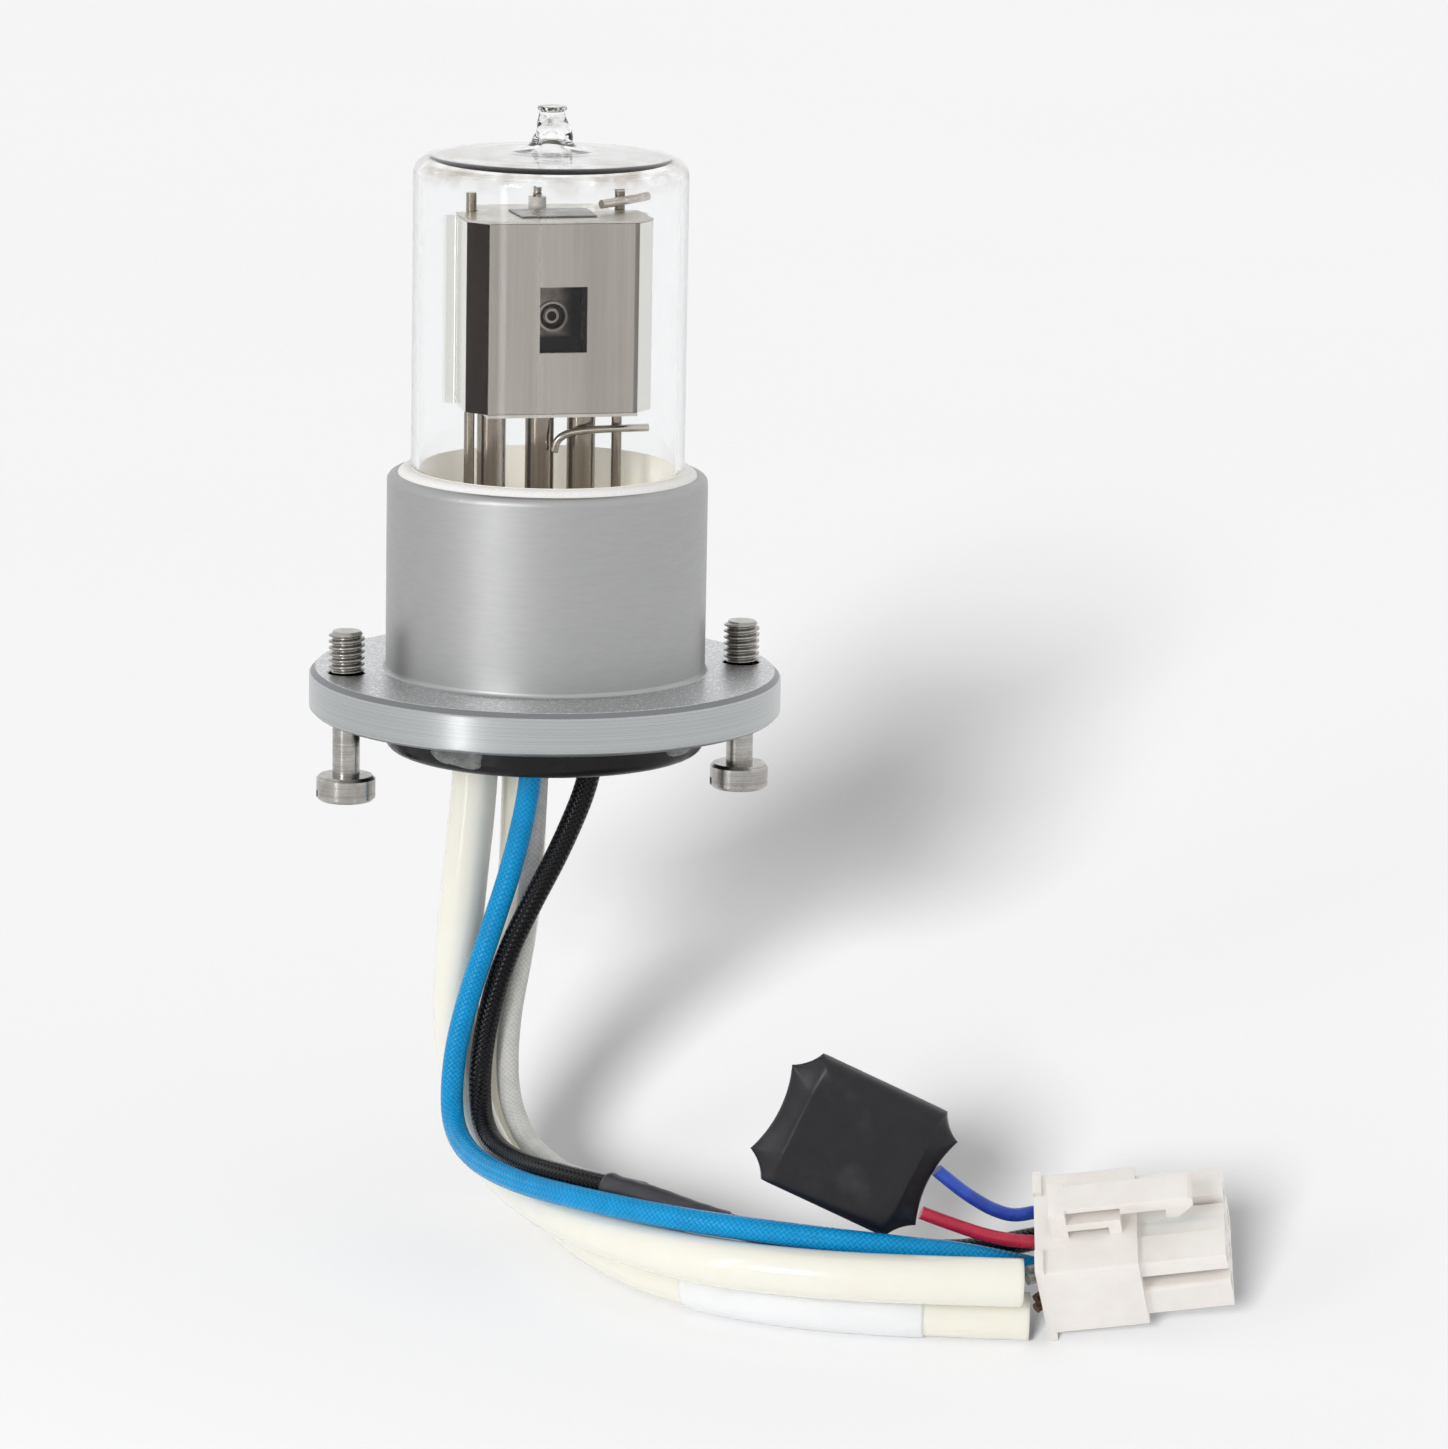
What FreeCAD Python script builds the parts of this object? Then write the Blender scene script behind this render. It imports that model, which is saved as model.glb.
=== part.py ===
import FreeCAD, Part
import math
import os
import Sketcher

# Deuterium lamp: a sealed silica bulb with a nickel electrode box inside, cemented into a
# turned aluminium flange, with captive screws and a lead bundle that ends in a six-way plug.
# Millimetres. The origin is the middle of the flange's seat, +Z runs to the tip of the bulb,
# the emission window faces -Y and the two screws lie on X.

V = FreeCAD.Vector
doc = FreeCAD.newDocument("deuterium_lamp")

# Driving sizes. Each name is an alias in the sheet.
SIZES = {
    # clearances
    "seat_gap": 0.05,
    "cap_gap": 0.1,
    "screw_gap": 0.12,
    "lead_gap": 0.15,
    "wire_gap": 0.1,
    # bulb, stem and cement
    "bulb_radius": 15.0,
    "bulb_wall": 1.3,
    "bulb_foot": 8.0,
    "head_room": 6.55,
    "shoulder_round": 2.0,
    "crown_round": 80.0,
    "crown_rise": 0.6,
    "stub_height": 4.75,
    "stub_foot": 3.2,
    "stub_neck": 2.35,
    "stub_flare": 0.9,
    "stub_bulge": 2.55,
    "stub_round": 2.4,
    "stub_bore": 1.1,
    "lip_radius": 1.62,
    "lip_waist": 1.3,
    "lip_height": 0.75,
    "lip_edge": 0.4,
    "stem_top": 12.0,
    "stem_edge": 0.6,
    "cement_thick": 1.5,
    "cement_rise": 0.7,
    "cement_round": 1.6,
    # base flange, one turned piece round the bulb
    "collar_wall": 1.1,
    "collar_height": 21.7,
    "collar_edge": 0.9,
    "collar_foot": 0.5,
    "ledge_width": 1.1,
    "ledge_height": 1.5,
    "screw_land": 4.6,
    "disc_margin": 3.8,
    "disc_thick": 4.7,
    "disc_top_chamfer": 0.7,
    "disc_low_chamfer": 0.4,
    "hole_radius": 1.7,
    "sink_depth": 0.5,
    # captive screws
    "thread_radius": 2.0,
    "thread_length": 4.75,
    "thread_tip": 0.4,
    "neck_radius": 1.5,
    "neck_length": 11.35,
    "head_radius": 3.25,
    "head_height": 2.8,
    "head_edge": 0.35,
    "slot_width": 0.9,
    "slot_depth": 1.2,
    # black cap under the flange
    "cap_step": 0.05,
    "cap_thick": 4.2,
    "cap_edge": 1.2,
    "lead_recess": 2.5,
    # pins and tubes of the stem
    "pin_radius": 0.575,
    "pin_bottom": 3.5,
    "pin_rise": 2.25,
    "support_out": 0.15,
    "feed_y": 4.0,
    "feed_left": -5.57,
    "feed_mid": -0.15,
    "feed_right": 4.55,
    "feed_rise": 1.7,
    "crimp_radius": 1.2,
    "crimp_bottom": 2.0,
    "crimp_top": 6.0,
    "tube_radius": 1.6,
    # electrode box, folded from sheet; heights are reckoned from the arc
    "arc_height": 39.2,
    "sheet": 0.35,
    "fold": 0.3,
    "box_half": 8.15,
    "box_front": 7.6,
    "box_under": 9.75,
    "box_over": 10.85,
    "wing_wide": 3.35,
    "wing_back": 1.7,
    "pan_in": 0.85,
    "pan_back": 8.0,
    "window_left": 2.62,
    "window_right": 2.54,
    "window_under": 3.12,
    "window_over": 4.02,
    "window_corner": 0.28,
    "bridge_left": 3.5,
    "bridge_right": 4.6,
    "bridge_front": 1.2,
    # parts behind the window
    "cup_radius": 1.67,
    "cup_mouth": 1.4,
    "cup_floor": 1.15,
    "cup_ring": 0.77,
    "cup_hole": 0.53,
    "cup_front": 0.6,
    "cup_step": 0.3,
    "cup_back": 1.0,
    "plate_face": 1.3,
    "plate_bow": 27.0,
    "plate_under": 2.5,
    "block_in": 1.25,
    "block_front": 0.25,
    "block_back": 2.6,
    "block_under": 7.4,
    "anode_half": 4.0,
    "anode_under": 5.2,
    "anode_over": 5.3,
    "guard_x": 3.05,
    "guard_foot": 2.8,
    "guard_back": 1.6,
    "guard_under": 6.2,
    "guard_over": 6.8,
    "slit_front": 4.1,
    "slit_back": 2.3,
    "slit_under": 2.8,
    "slit_over": 2.6,
    "slit_corner": 0.8,
    "coil_x": 5.6,
    "coil_y": -3.6,
    "coil_radius": 0.8,
    "coil_wire": 0.2,
    "coil_under": 2.7,
    "coil_pitch": 0.9,
    "coil_turns": 6,
    "leg_rise": 1.3,
    "leg_slope": 0.4,
    # anode lead above the box
    "post_x": -0.2,
    "post_radius": 1.0,
    "post_half": 1.25,
    "anode_wire_radius": 0.3,
    "anode_wire_rise": 2.35,
    "strap_radius": 0.425,
    "strap_drop": 3.15,
    "strap_out": 3.4,
    "strap_in": 4.4,
    "strap_end": 7.2,
    "strap_dip": 2.35,
    "cross_radius": 0.475,
    "cross_rise": 1.15,
    "cross_in": 2.7,
    "cross_out": 3.5,
    "cross_back": 2.5,
    # leads
    "cream_radius": 2.55,
    "braid_radius": 1.25,
    "thin_radius": 0.72,
    "inner_radius": 0.55,
    "marker_radius": 2.8,
    "marker_start": 94.0,
    "marker_end": 120.0,
    "splice_radius": 1.5,
    "splice_start": 75.5,
    "splice_end": 90.5,
    "white_tail": 2.8,
    # six-way connector, in its own frame: X to the mating end, Z out of the latch face
    "plug_wide": 13.8,
    "plug_thick": 9.6,
    "plug_edge": 0.4,
    "plug_body": 10.7,
    "plug_pitch": 4.2,
    "plug_row": 2.1,
    "barrel_long": 9.0,
    "barrel_wide": 3.65,
    "barrel_tall": 3.8,
    "barrel_recess": 0.8,
    "barrel_cut": 1.65,
    "barrel_round": 0.5,
    "cavity": 3.0,
    "cavity_deep": 8.7,
    "socket_radius": 1.1,
    "terminal_radius": 0.9,
    "terminal_start": 0.5,
    "terminal_long": 17.0,
    "entry_gap": 0.85,
    "latch_half": 1.65,
    "latch_start": 3.6,
    "latch_top": 8.5,
    "latch_thin": 0.6,
    "latch_thick": 1.5,
    "latch_bend": 9.3,
    "hook_start": 14.0,
    "hook_flat": 1.2,
    "hook_end": 16.9,
    "hook_drop": 2.8,
    "hook_nose": 1.3,
    "hook_edge": 0.4,
    "bridge_half": 2.25,
    "pad_start": 1.9,
    "bridge_end": 9.2,
    "bridge_leg": 1.3,
    "bridge_slot": 1.0,
    "bridge_rise": 2.0,
    "tab_long": 0.9,
    "tab_wide": 3.0,
    "tab_rise": 0.6,
    "foot_rise": 1.0,
    "foot_wide": 2.4,
    # heat-shrunk module in the leads, in its own frame: X along, Y across, Z thick
    "pouch_half": 9.6,
    "pouch_tip": 5.0,
    "pouch_side": 7.5,
    "pouch_straight": 7.2,
    "pouch_thick": 4.2,
    "pouch_end": 1.4,
    "pouch_scallop": 5.0,
    "pouch_hollow": 14.0,
}

# Where each lead leaves the cap, X and Y, and the points that it runs through.
CREAM_A = [
    (-7.5, 0.6), (-7.5, 0.6, -12), (-9.0, 0.8, -27), (-9.7, 0.7, -38), (-9.1, 0.0, -45),
    (-8.1, -3.4, -50.8), (-6.7, -10.0, -53.9), (-5.2, -19.0, -54.5), (-3.9, -29.0, -53.9),
    (0.4, -39.5, -54.0), (7.2, -49.9, -53.8), (17.0, -56.5, -53.7), (27.5, -60.4, -53.7),
    (38.4, -62.6, -53.9),
]
CREAM_B = [
    (-1.8, 1.8), (-1.8, 1.8, -16), (-2.2, 1.9, -27), (-3.9, 2.8, -38), (-5.2, 3.4, -46),
    (-3.8, 1.0, -52.6), (-2.0, -5.5, -57.2), (-0.6, -14.5, -58.3), (0.6, -26, -58.4),
    (5.0, -39.9, -58.2), (14, -50, -58.2), (26.5, -56.4, -58.2), (40.0, -60.1, -58.35),
]
BLUE = [
    (-2.5, -5.9), (-2.5, -5.9, -11), (-4.2, -4.9, -20.5), (-6.8, -4.4, -29), (-9.4, -4.3, -37),
    (-10.9, -4.8, -43.5), (-11.6, -8.0, -49.5), (-11.0, -16.5, -51.1), (-8.0, -27, -51.0),
    (-2.8, -37.3, -50.2), (5.9, -47.7, -49.9), (16.3, -54.1, -50.2), (26.2, -56.6, -51.2),
    (34.6, -56.7, -52.4),
]
BLACK = [
    (4.4, -5.6), (4.4, -5.6, -10.5), (1.0, -5.9, -18.8), (-2.4, -5.4, -25.5), (-5.0, -3.9, -32),
    (-6.7, -3.3, -38.5), (-8.0, -5.0, -45.0), (-8.4, -9.6, -49.9), (-7.6, -18.5, -50.6),
    (-4.2, -29.8, -49.5), (2.8, -39.9, -49.2), (9.9, -46.3, -50.9), (17.6, -50.2, -52.0),
    (25.9, -51.9, -52.8), (32.6, -53.3, -53.0), (36.5, -53.2, -53.0),
]
WHITE = [
    (-1.3, -2.9), (-1.3, -2.9, -12), (-1.9, -2.6, -23), (-2.5, -1.9, -31.5), (-4.0, -1.6, -39.5),
    (-4.8, -4.9, -47.0), (-3.9, -10.6, -50.9), (-2.6, -20.5, -51.4), (-1.9, -28.4, -50.5),
    (3.75, -37.0, -50.2),
]
MODULE_BLUE = [(34.2, -54.9, -46.3), (37.1, -54.5, -48.2), (39.6, -54.2, -49.2)]
MODULE_RED = [(32.6, -55.1, -49.4), (36.2, -55.6, -50.7), (38.8, -56.7, -51.1)]

# The connector lies on its lower rear edge, tipped back and rolled towards the front.
PLUG_AT = V(42.09, -56.56, -52.9)
PLUG_TURN = (-19.49, -9.02, 32.96)
# The module hangs in its own two wires with its flat side to the front.
POUCH_AT = V(22.57, -52.82, -41.08)
POUCH_TURN = (-13.4, 24.7, 90.0)
# Where its two wires leave it, in its own frame.
POUCH_BLUE = (9.0, 1.3, 0.0)
POUCH_RED = (9.5, -3.5, 0.0)


class Size(float):
    """A size that keeps the sheet expression that it comes from."""

    def __new__(cls, value, text):
        made = super().__new__(cls, value)
        made.text = text
        return made

    def __add__(self, other):
        return Size(float(self) + float(other), "(%s + %s)" % (words(self), words(other)))

    def __radd__(self, other):
        return Size(float(other) + float(self), "(%s + %s)" % (words(other), words(self)))

    def __sub__(self, other):
        return Size(float(self) - float(other), "(%s - %s)" % (words(self), words(other)))

    def __rsub__(self, other):
        return Size(float(other) - float(self), "(%s - %s)" % (words(other), words(self)))

    def __mul__(self, other):
        return Size(float(self) * float(other), "(%s * %s)" % (words(self), words(other)))

    __rmul__ = __mul__

    def __truediv__(self, other):
        return Size(float(self) / float(other), "(%s / %s)" % (words(self), words(other)))

    def __neg__(self):
        return Size(-float(self), "(0 - %s)" % words(self))


def words(number):
    """The text of a size or a plain number in an expression."""
    if isinstance(number, Size):
        return number.text
    return "%.6f" % number if number >= 0 else "(0 - %.6f)" % -number


class Sheet:
    """Holds every driving size as an attribute."""


size = Sheet()
table = doc.addObject("Spreadsheet::Sheet", "sizes")
for row, (alias, number) in enumerate(SIZES.items(), 1):
    table.set("A%d" % row, alias.replace("_", " "))
    table.set("B%d" % row, "%g" % number)
    table.setAlias("B%d" % row, alias)
    setattr(size, alias, Size(number, "sizes." + alias))
doc.recompute()

# Sizes that follow from the sheet.
size.collar_bore = size.bulb_radius + size.cement_thick
size.collar_radius = size.collar_bore + size.collar_wall
size.lower_bore = size.collar_bore - size.ledge_width
size.screw_offset = size.collar_radius + size.screw_land
size.disc_radius = size.screw_offset + size.disc_margin
size.cap_radius = size.collar_radius + size.cap_step
size.box_bottom = size.arc_height - size.box_under
size.box_top = size.arc_height + size.box_over
size.shoulder_top = size.box_top + size.head_room
size.crown_top = size.shoulder_top + size.crown_rise
size.stub_top = size.crown_top + size.stub_height
size.wing_half = size.box_half + size.wing_wide
size.pan_half = size.box_half - size.pan_in
size.plate_half = size.box_half - size.sheet - size.wire_gap
size.block_half = size.box_half - size.block_in
size.support_x = size.box_half + size.support_out
size.post_y = size.pan_back - size.sheet - size.wire_gap - size.post_radius

PARTS = []


def keep(thing, name):
    """List an object as one of the lamp's parts under its own label."""
    thing.Label = name
    PARTS.append(thing)
    return thing


def bind(thing, path, number):
    """Tie one property to the sheet."""
    thing.setExpression(path, words(number))


def move(thing, x=0, y=0, z=0):
    """Tie the position of an object to the sheet."""
    for axis, number in (("x", x), ("y", y), ("z", z)):
        if isinstance(number, Size) or number:
            bind(thing, "Placement.Base." + axis, number)


def new_body(name):
    """A body that becomes one part."""
    return keep(doc.addObject("PartDesign::Body", name + "_body"), name)


def arc_between(start, end, radius):
    """Arc from start to end: it turns left on its way if the radius is positive, else right."""
    chord = end - start
    side = V(-chord.y, chord.x, 0)
    side.normalize()
    rise = math.sqrt(max(radius * radius - chord.Length ** 2 / 4, 0))
    if radius > 0:
        middle = start + chord / 2 + side * (rise - radius)
    else:
        middle = start + chord / 2 - side * (rise + radius)
    return Part.Arc(start, middle, end)


def pin_point(rules, ties, index, end, u, v):
    """Add the rules that hold one sketch point at u, v."""
    for kind, axis, number in (("DistanceX", -2, u), ("DistanceY", -1, v)):
        if float(number) == 0:
            rules.append(Sketcher.Constraint("PointOnObject", index, end, axis))
            ties.append(None)
        else:
            rules.append(Sketcher.Constraint(kind, -1, 1, index, end, float(number)))
            ties.append(number)


def draw(body, name, role, loops, lift=0):
    """Sketch closed loops on an origin plane of the body, each size tied to the sheet.

    A loop is a list of corners (u, v), with a third value where the edge that leaves the corner
    is an arc of that radius, or it is ("circle", u, v, radius). The plane is moved by lift
    along its normal.
    """
    sketch = body.newObject("Sketcher::SketchObject", name)
    plane = [p for p in body.Origin.OriginFeatures if p.Role == role][0]
    sketch.AttachmentSupport = [(plane, "")]
    sketch.MapMode = "FlatFace"
    if isinstance(lift, Size):
        bind(sketch, "AttachmentOffset.Base.z", lift)
    rules = []
    ties = []
    for loop in loops:
        first = len(sketch.Geometry)
        if loop[0] == "circle":
            middle = V(float(loop[1]), float(loop[2]), 0)
            sketch.addGeometry(Part.Circle(middle, V(0, 0, 1), float(loop[3])), False)
            pin_point(rules, ties, first, 3, loop[1], loop[2])
            rules.append(Sketcher.Constraint("Radius", first, float(loop[3])))
            ties.append(loop[3])
            continue
        count = len(loop)
        ends = []
        for k, corner in enumerate(loop):
            start = V(float(corner[0]), float(corner[1]), 0)
            after = loop[(k + 1) % count]
            end = V(float(after[0]), float(after[1]), 0)
            if len(corner) == 3:
                edge = arc_between(start, end, float(corner[2]))
                sketch.addGeometry(edge, False)
                turned = corner[2] < 0
                ends.append((2, 1) if turned else (1, 2))
                rules.append(Sketcher.Constraint("Radius", first + k, abs(float(corner[2]))))
                ties.append(-corner[2] if turned else corner[2])
            else:
                sketch.addGeometry(Part.LineSegment(start, end), False)
                ends.append((1, 2))
        for k, corner in enumerate(loop):
            pin_point(rules, ties, first + k, ends[k][0], corner[0], corner[1])
            before = (k - 1) % count
            rules.append(Sketcher.Constraint("Coincident", first + before, ends[before][1],
                                             first + k, ends[k][0]))
            ties.append(None)
    sketch.addConstraint(rules)
    for k, number in enumerate(ties):
        if isinstance(number, Size):
            bind(sketch, "Constraints[%d]" % k, number)
    return sketch


def rounded(left, right, low, high, corner):
    """Loop of a rectangle with round corners."""
    return [
        (left + corner, low), (right - corner, low, corner),
        (right, low + corner), (right, high - corner, corner),
        (right - corner, high), (left + corner, high, corner),
        (left, high - corner), (left, low + corner, corner),
    ]


def turn(body, sketch):
    """Revolve a section once round the sketch's upright axis."""
    solid = body.newObject("PartDesign::Revolution", sketch.Name + "_turned")
    solid.Profile = sketch
    solid.ReferenceAxis = (sketch, ["V_Axis"])
    solid.Angle = 360.0
    return solid


def pad(body, sketch, length, back=False, both=False):
    """Extrude a sketch along its normal, or against it, or half each way."""
    solid = body.newObject("PartDesign::Pad", sketch.Name + "_pad")
    solid.Profile = sketch
    bind(solid, "Length", length)
    solid.Reversed = back
    if both:
        solid.SideType = "Symmetric"
    return solid


def pocket(body, sketch, length=None, up=False, both=False):
    """Cut a sketch against its normal, or along it, right through if no length is given."""
    hole = body.newObject("PartDesign::Pocket", sketch.Name + "_cut")
    hole.Profile = sketch
    if length is None:
        hole.Type = "ThroughAll"
    else:
        bind(hole, "Length", length)
    hole.Reversed = up
    if both:
        hole.SideType = "Symmetric"
    return hole


def edges_where(body, test):
    """Names of the edges of the body's newest feature that pass the test."""
    doc.recompute()
    found = []
    for k, edge in enumerate(body.Tip.Shape.Edges, 1):
        if test(edge):
            found.append("Edge%d" % k)
    return found


def dress(body, kind, names, amount):
    """Fillet or chamfer the named edges of the body's newest feature."""
    base = body.Tip
    finish = body.newObject("PartDesign::" + kind, kind + "_of_" + body.Name)
    finish.Base = (base, names)
    bind(finish, "Radius" if kind == "Fillet" else "Size", amount)
    doc.recompute()
    return finish


def is_rim(radius, height, x=0.0, y=0.0):
    """Test for a round edge about the upright line through x, y."""
    def test(edge):
        curve = edge.Curve
        if not isinstance(curve, Part.Circle) or abs(curve.Radius - radius) > 1e-4:
            return False
        middle = curve.Center
        return math.dist((middle.x, middle.y, middle.z), (x, y, height)) < 1e-3
    return test


def is_upright(corners):
    """Test for a straight upright edge through one of the corners (x, y)."""
    def test(edge):
        a = edge.Vertexes[0].Point
        b = edge.Vertexes[-1].Point
        if math.dist((a.x, a.y), (b.x, b.y)) > 1e-6 or abs(a.z - b.z) < 1e-3:
            return False
        return any(math.dist((a.x, a.y), (float(u), float(v))) < 1e-3 for u, v in corners)
    return test


def rod(name, radius, low, high, x=0, y=0):
    """Upright cylinder between two heights."""
    made = doc.addObject("Part::Cylinder", name)
    bind(made, "Radius", radius)
    bind(made, "Height", high - low)
    move(made, x, y, low)
    return made


def block(name, low, high):
    """Box between two corners."""
    made = doc.addObject("Part::Box", name)
    for side, a, b in zip(("Length", "Width", "Height"), low, high):
        bind(made, side, b - a)
    move(made, *low)
    return made


def cut(name, base, tools):
    """The base without the tools."""
    made = doc.addObject("Part::Cut", name)
    made.Base = base
    made.Tool = tools[0] if len(tools) == 1 else join(name + "_tools", tools)
    return made


def join(name, things):
    """Several solids fused into one."""
    made = doc.addObject("Part::MultiFuse", name)
    made.Shapes = things
    return made


def group(name, things):
    """Separate solids kept in one part."""
    made = doc.addObject("Part::Compound", name)
    made.Links = things
    return made


def path_edges(points):
    """Straight runs joined by tangent arcs, as large as the runs beside each point allow."""
    reach = 0.45
    runs = [(b - a).Length for a, b in zip(points, points[1:])]
    edges = []
    here = points[0]
    for k in range(1, len(points) - 1):
        arriving = (points[k] - points[k - 1]).normalize()
        leaving = (points[k + 1] - points[k]).normalize()
        half = arriving.getAngle(leaving) / 2
        back = reach * min(runs[k - 1], runs[k])
        radius = back / math.tan(half)
        entry = points[k] - arriving * back
        depart = points[k] + leaving * back
        inward = (leaving - arriving).normalize()
        middle = points[k] + inward * (radius / math.cos(half) - radius)
        edges.append(Part.LineSegment(here, entry).toShape())
        edges.append(Part.Arc(entry, middle, depart).toShape())
        here = depart
    edges.append(Part.LineSegment(here, points[-1]).toShape())
    return edges


def stretch(edges, start, end):
    """The part of a path between two lengths along it."""
    found = []
    done = 0.0
    for edge in edges:
        low = max(float(start) - done, 0.0)
        high = min(float(end) - done, edge.Length)
        if high - low > 1e-6:
            found.append(edge.Curve.toShape(edge.getParameterByLength(low),
                                            edge.getParameterByLength(high)))
        done += edge.Length
    return found


def swept(edges, radius):
    """Round rod along a path."""
    heading = edges[0].tangentAt(edges[0].FirstParameter)
    start = edges[0].valueAt(edges[0].FirstParameter)
    ring = Part.Wire([Part.Circle(start, heading, float(radius)).toShape()])
    return Part.Wire(edges).makePipeShell([ring], True, False)


def static(name, shape):
    """Keep a finished shape as a part."""
    made = doc.addObject("Part::Feature", name + "_shape")
    made.Shape = shape
    return keep(made, name)


def wire_part(name, points, radius):
    """A lead or a wire along its route; prints its length, its bends and its volume."""
    edges = path_edges([V(*[float(n) for n in p]) for p in points])
    solid = swept(edges, radius)
    static(name, solid)
    long = sum(edge.Length for edge in edges)
    bends = [edge.Curve.Radius for edge in edges if isinstance(edge.Curve, Part.Circle)]
    print("%s: length %.1f, volume/expected %.4f, smallest bend %.1f" % (
        name, long, solid.Volume / (math.pi * float(radius) ** 2 * long), min(bends)))
    return edges


def place(at, turn_by):
    """Placement from a point and yaw, pitch and roll in degrees."""
    return FreeCAD.Placement(at, FreeCAD.Rotation(*turn_by))


def feeds():
    """Places of the three fed-through pins, named from the left."""
    return (("left", size.feed_left), ("mid", size.feed_mid), ("right", size.feed_right))


def pin_places():
    """X and Y of all five pins of the stem."""
    behind = size.wing_back + 2 * size.seat_gap + size.sheet + size.pin_radius
    places = [(-size.support_x, behind), (size.support_x, behind)]
    return places + [(x, size.feed_y) for _, x in feeds()]


def pin_circles(radius):
    """One loop at each pin."""
    return [("circle", x, y, radius) for x, y in pin_places()]


# Outer parts

def base_flange():
    body = new_body("base_flange")
    turn(body, draw(body, "flange_section", "XZ_Plane", [[
        (size.lower_bore, -size.disc_thick), (size.disc_radius, -size.disc_thick),
        (size.disc_radius, 0), (size.collar_radius, 0),
        (size.collar_radius, size.collar_height), (size.collar_bore, size.collar_height),
        (size.collar_bore, size.ledge_height), (size.lower_bore, size.ledge_height),
    ]]))
    pocket(body, draw(body, "screw_holes", "XY_Plane", [
        ("circle", size.screw_offset, 0, size.hole_radius),
        ("circle", -size.screw_offset, 0, size.hole_radius),
    ]))
    for side in (1, -1):
        mouth = is_rim(size.hole_radius, 0, side * size.screw_offset)
        dress(body, "Chamfer", edges_where(body, mouth), size.sink_depth)
    rims = (
        ("Chamfer", size.disc_radius, 0, size.disc_top_chamfer),
        ("Chamfer", size.disc_radius, -size.disc_thick, size.disc_low_chamfer),
        ("Fillet", size.collar_radius, 0, size.collar_foot),
        ("Fillet", size.collar_radius, size.collar_height, size.collar_edge),
    )
    for kind, radius, height, amount in rims:
        dress(body, kind, edges_where(body, is_rim(radius, height)), amount)


def captive_screw(name, x):
    """Its thread rests in the countersink and can't pass the hole, its head hangs below."""
    thread_low = -(size.hole_radius + size.sink_depth - size.thread_radius - size.screw_gap)
    neck_low = thread_low - size.neck_length
    head_low = neck_low - size.head_height
    thread_high = thread_low + size.thread_length
    body = new_body(name)
    turn(body, draw(body, name + "_section", "XZ_Plane", [[
        (0, head_low), (size.head_radius - size.head_edge, head_low),
        (size.head_radius, head_low + size.head_edge),
        (size.head_radius, neck_low - size.head_edge),
        (size.head_radius - size.head_edge, neck_low), (size.neck_radius, neck_low),
        (size.neck_radius, thread_low), (size.thread_radius, thread_low),
        (size.thread_radius, thread_high - size.thread_tip),
        (size.thread_radius - size.thread_tip, thread_high), (0, thread_high),
    ]]))
    slot = [
        (-size.head_radius, -size.slot_width / 2), (size.head_radius, -size.slot_width / 2),
        (size.head_radius, size.slot_width / 2), (-size.head_radius, size.slot_width / 2),
    ]
    pocket(body, draw(body, name + "_slot", "XY_Plane", [slot], head_low), size.slot_depth, up=True)
    move(body, x)


def bulb_envelope():
    """Straight tube with a nearly flat crown and the sealed stub of the pumping tube."""
    side = size.bulb_radius
    inner = size.bulb_radius - size.bulb_wall
    top = size.shoulder_top
    bend = size.shoulder_round
    tip = size.stub_top
    bulge = tip - size.stub_bulge
    body = new_body("bulb_envelope")
    turn(body, draw(body, "bulb_section", "XZ_Plane", [[
        (inner, size.bulb_foot), (side, size.bulb_foot),
        (side, top - bend, bend),
        (side - bend, top, size.crown_round),
        (size.stub_foot, size.crown_top, -size.stub_flare),
        (size.stub_neck, size.crown_top + size.stub_flare),
        (size.stub_neck, bulge, size.stub_round),
        (size.lip_waist, tip - size.lip_height),
        (size.lip_radius, tip - size.lip_edge - size.lip_edge / 2),
        (size.lip_radius, tip - size.lip_edge / 2),
        (size.lip_waist, tip), (0, tip - size.lip_edge),
        (0, bulge), (size.stub_bore, bulge - size.lip_height),
        (size.stub_bore, size.crown_top - size.lip_edge),
        (size.stub_neck, size.crown_top - size.bulb_wall, size.bulb_wall - size.crown_round),
        (side - bend, top - size.bulb_wall, size.bulb_wall - bend),
        (inner, top - bend),
    ]]))


def cement_ring():
    """White cement between the collar and the glass, with a rounded top."""
    body = new_body("cement_ring")
    inner = size.bulb_radius + size.seat_gap
    outer = size.collar_bore - size.seat_gap
    low = size.ledge_height + size.seat_gap
    turn(body, draw(body, "cement_section", "XZ_Plane", [[
        (inner, low), (outer, low), (outer, size.collar_height, size.cement_round),
        (inner, size.collar_height + size.cement_rise),
    ]]))


LEADS = {
    "cream_sleeve_a": (CREAM_A, size.cream_radius),
    "cream_sleeve_b": (CREAM_B, size.cream_radius),
    "blue_lead": (BLUE, size.braid_radius),
    "black_lead": (BLACK, size.braid_radius),
    "white_lead": (WHITE, size.braid_radius),
}


def potting_cap():
    """Black cap that closes the flange from below, with a recess for each lead."""
    top = -(size.disc_thick + size.seat_gap)
    low = top - size.cap_thick
    spigot = size.lower_bore - size.cap_gap
    body = new_body("potting_cap")
    turn(body, draw(body, "cap_section", "XZ_Plane", [[
        (0, low), (size.cap_radius, low), (size.cap_radius, top), (spigot, top),
        (spigot, size.ledge_height - size.cap_gap), (0, size.ledge_height - size.cap_gap),
    ]]))
    dress(body, "Fillet", edges_where(body, is_rim(size.cap_radius, low)), size.cap_edge)
    holes = []
    for route, radius in LEADS.values():
        holes.append(("circle", route[0][0], route[0][1], radius + size.lead_gap))
    pocket(body, draw(body, "lead_recesses", "XY_Plane", holes, low), size.lead_recess, up=True)


# Stem

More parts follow.
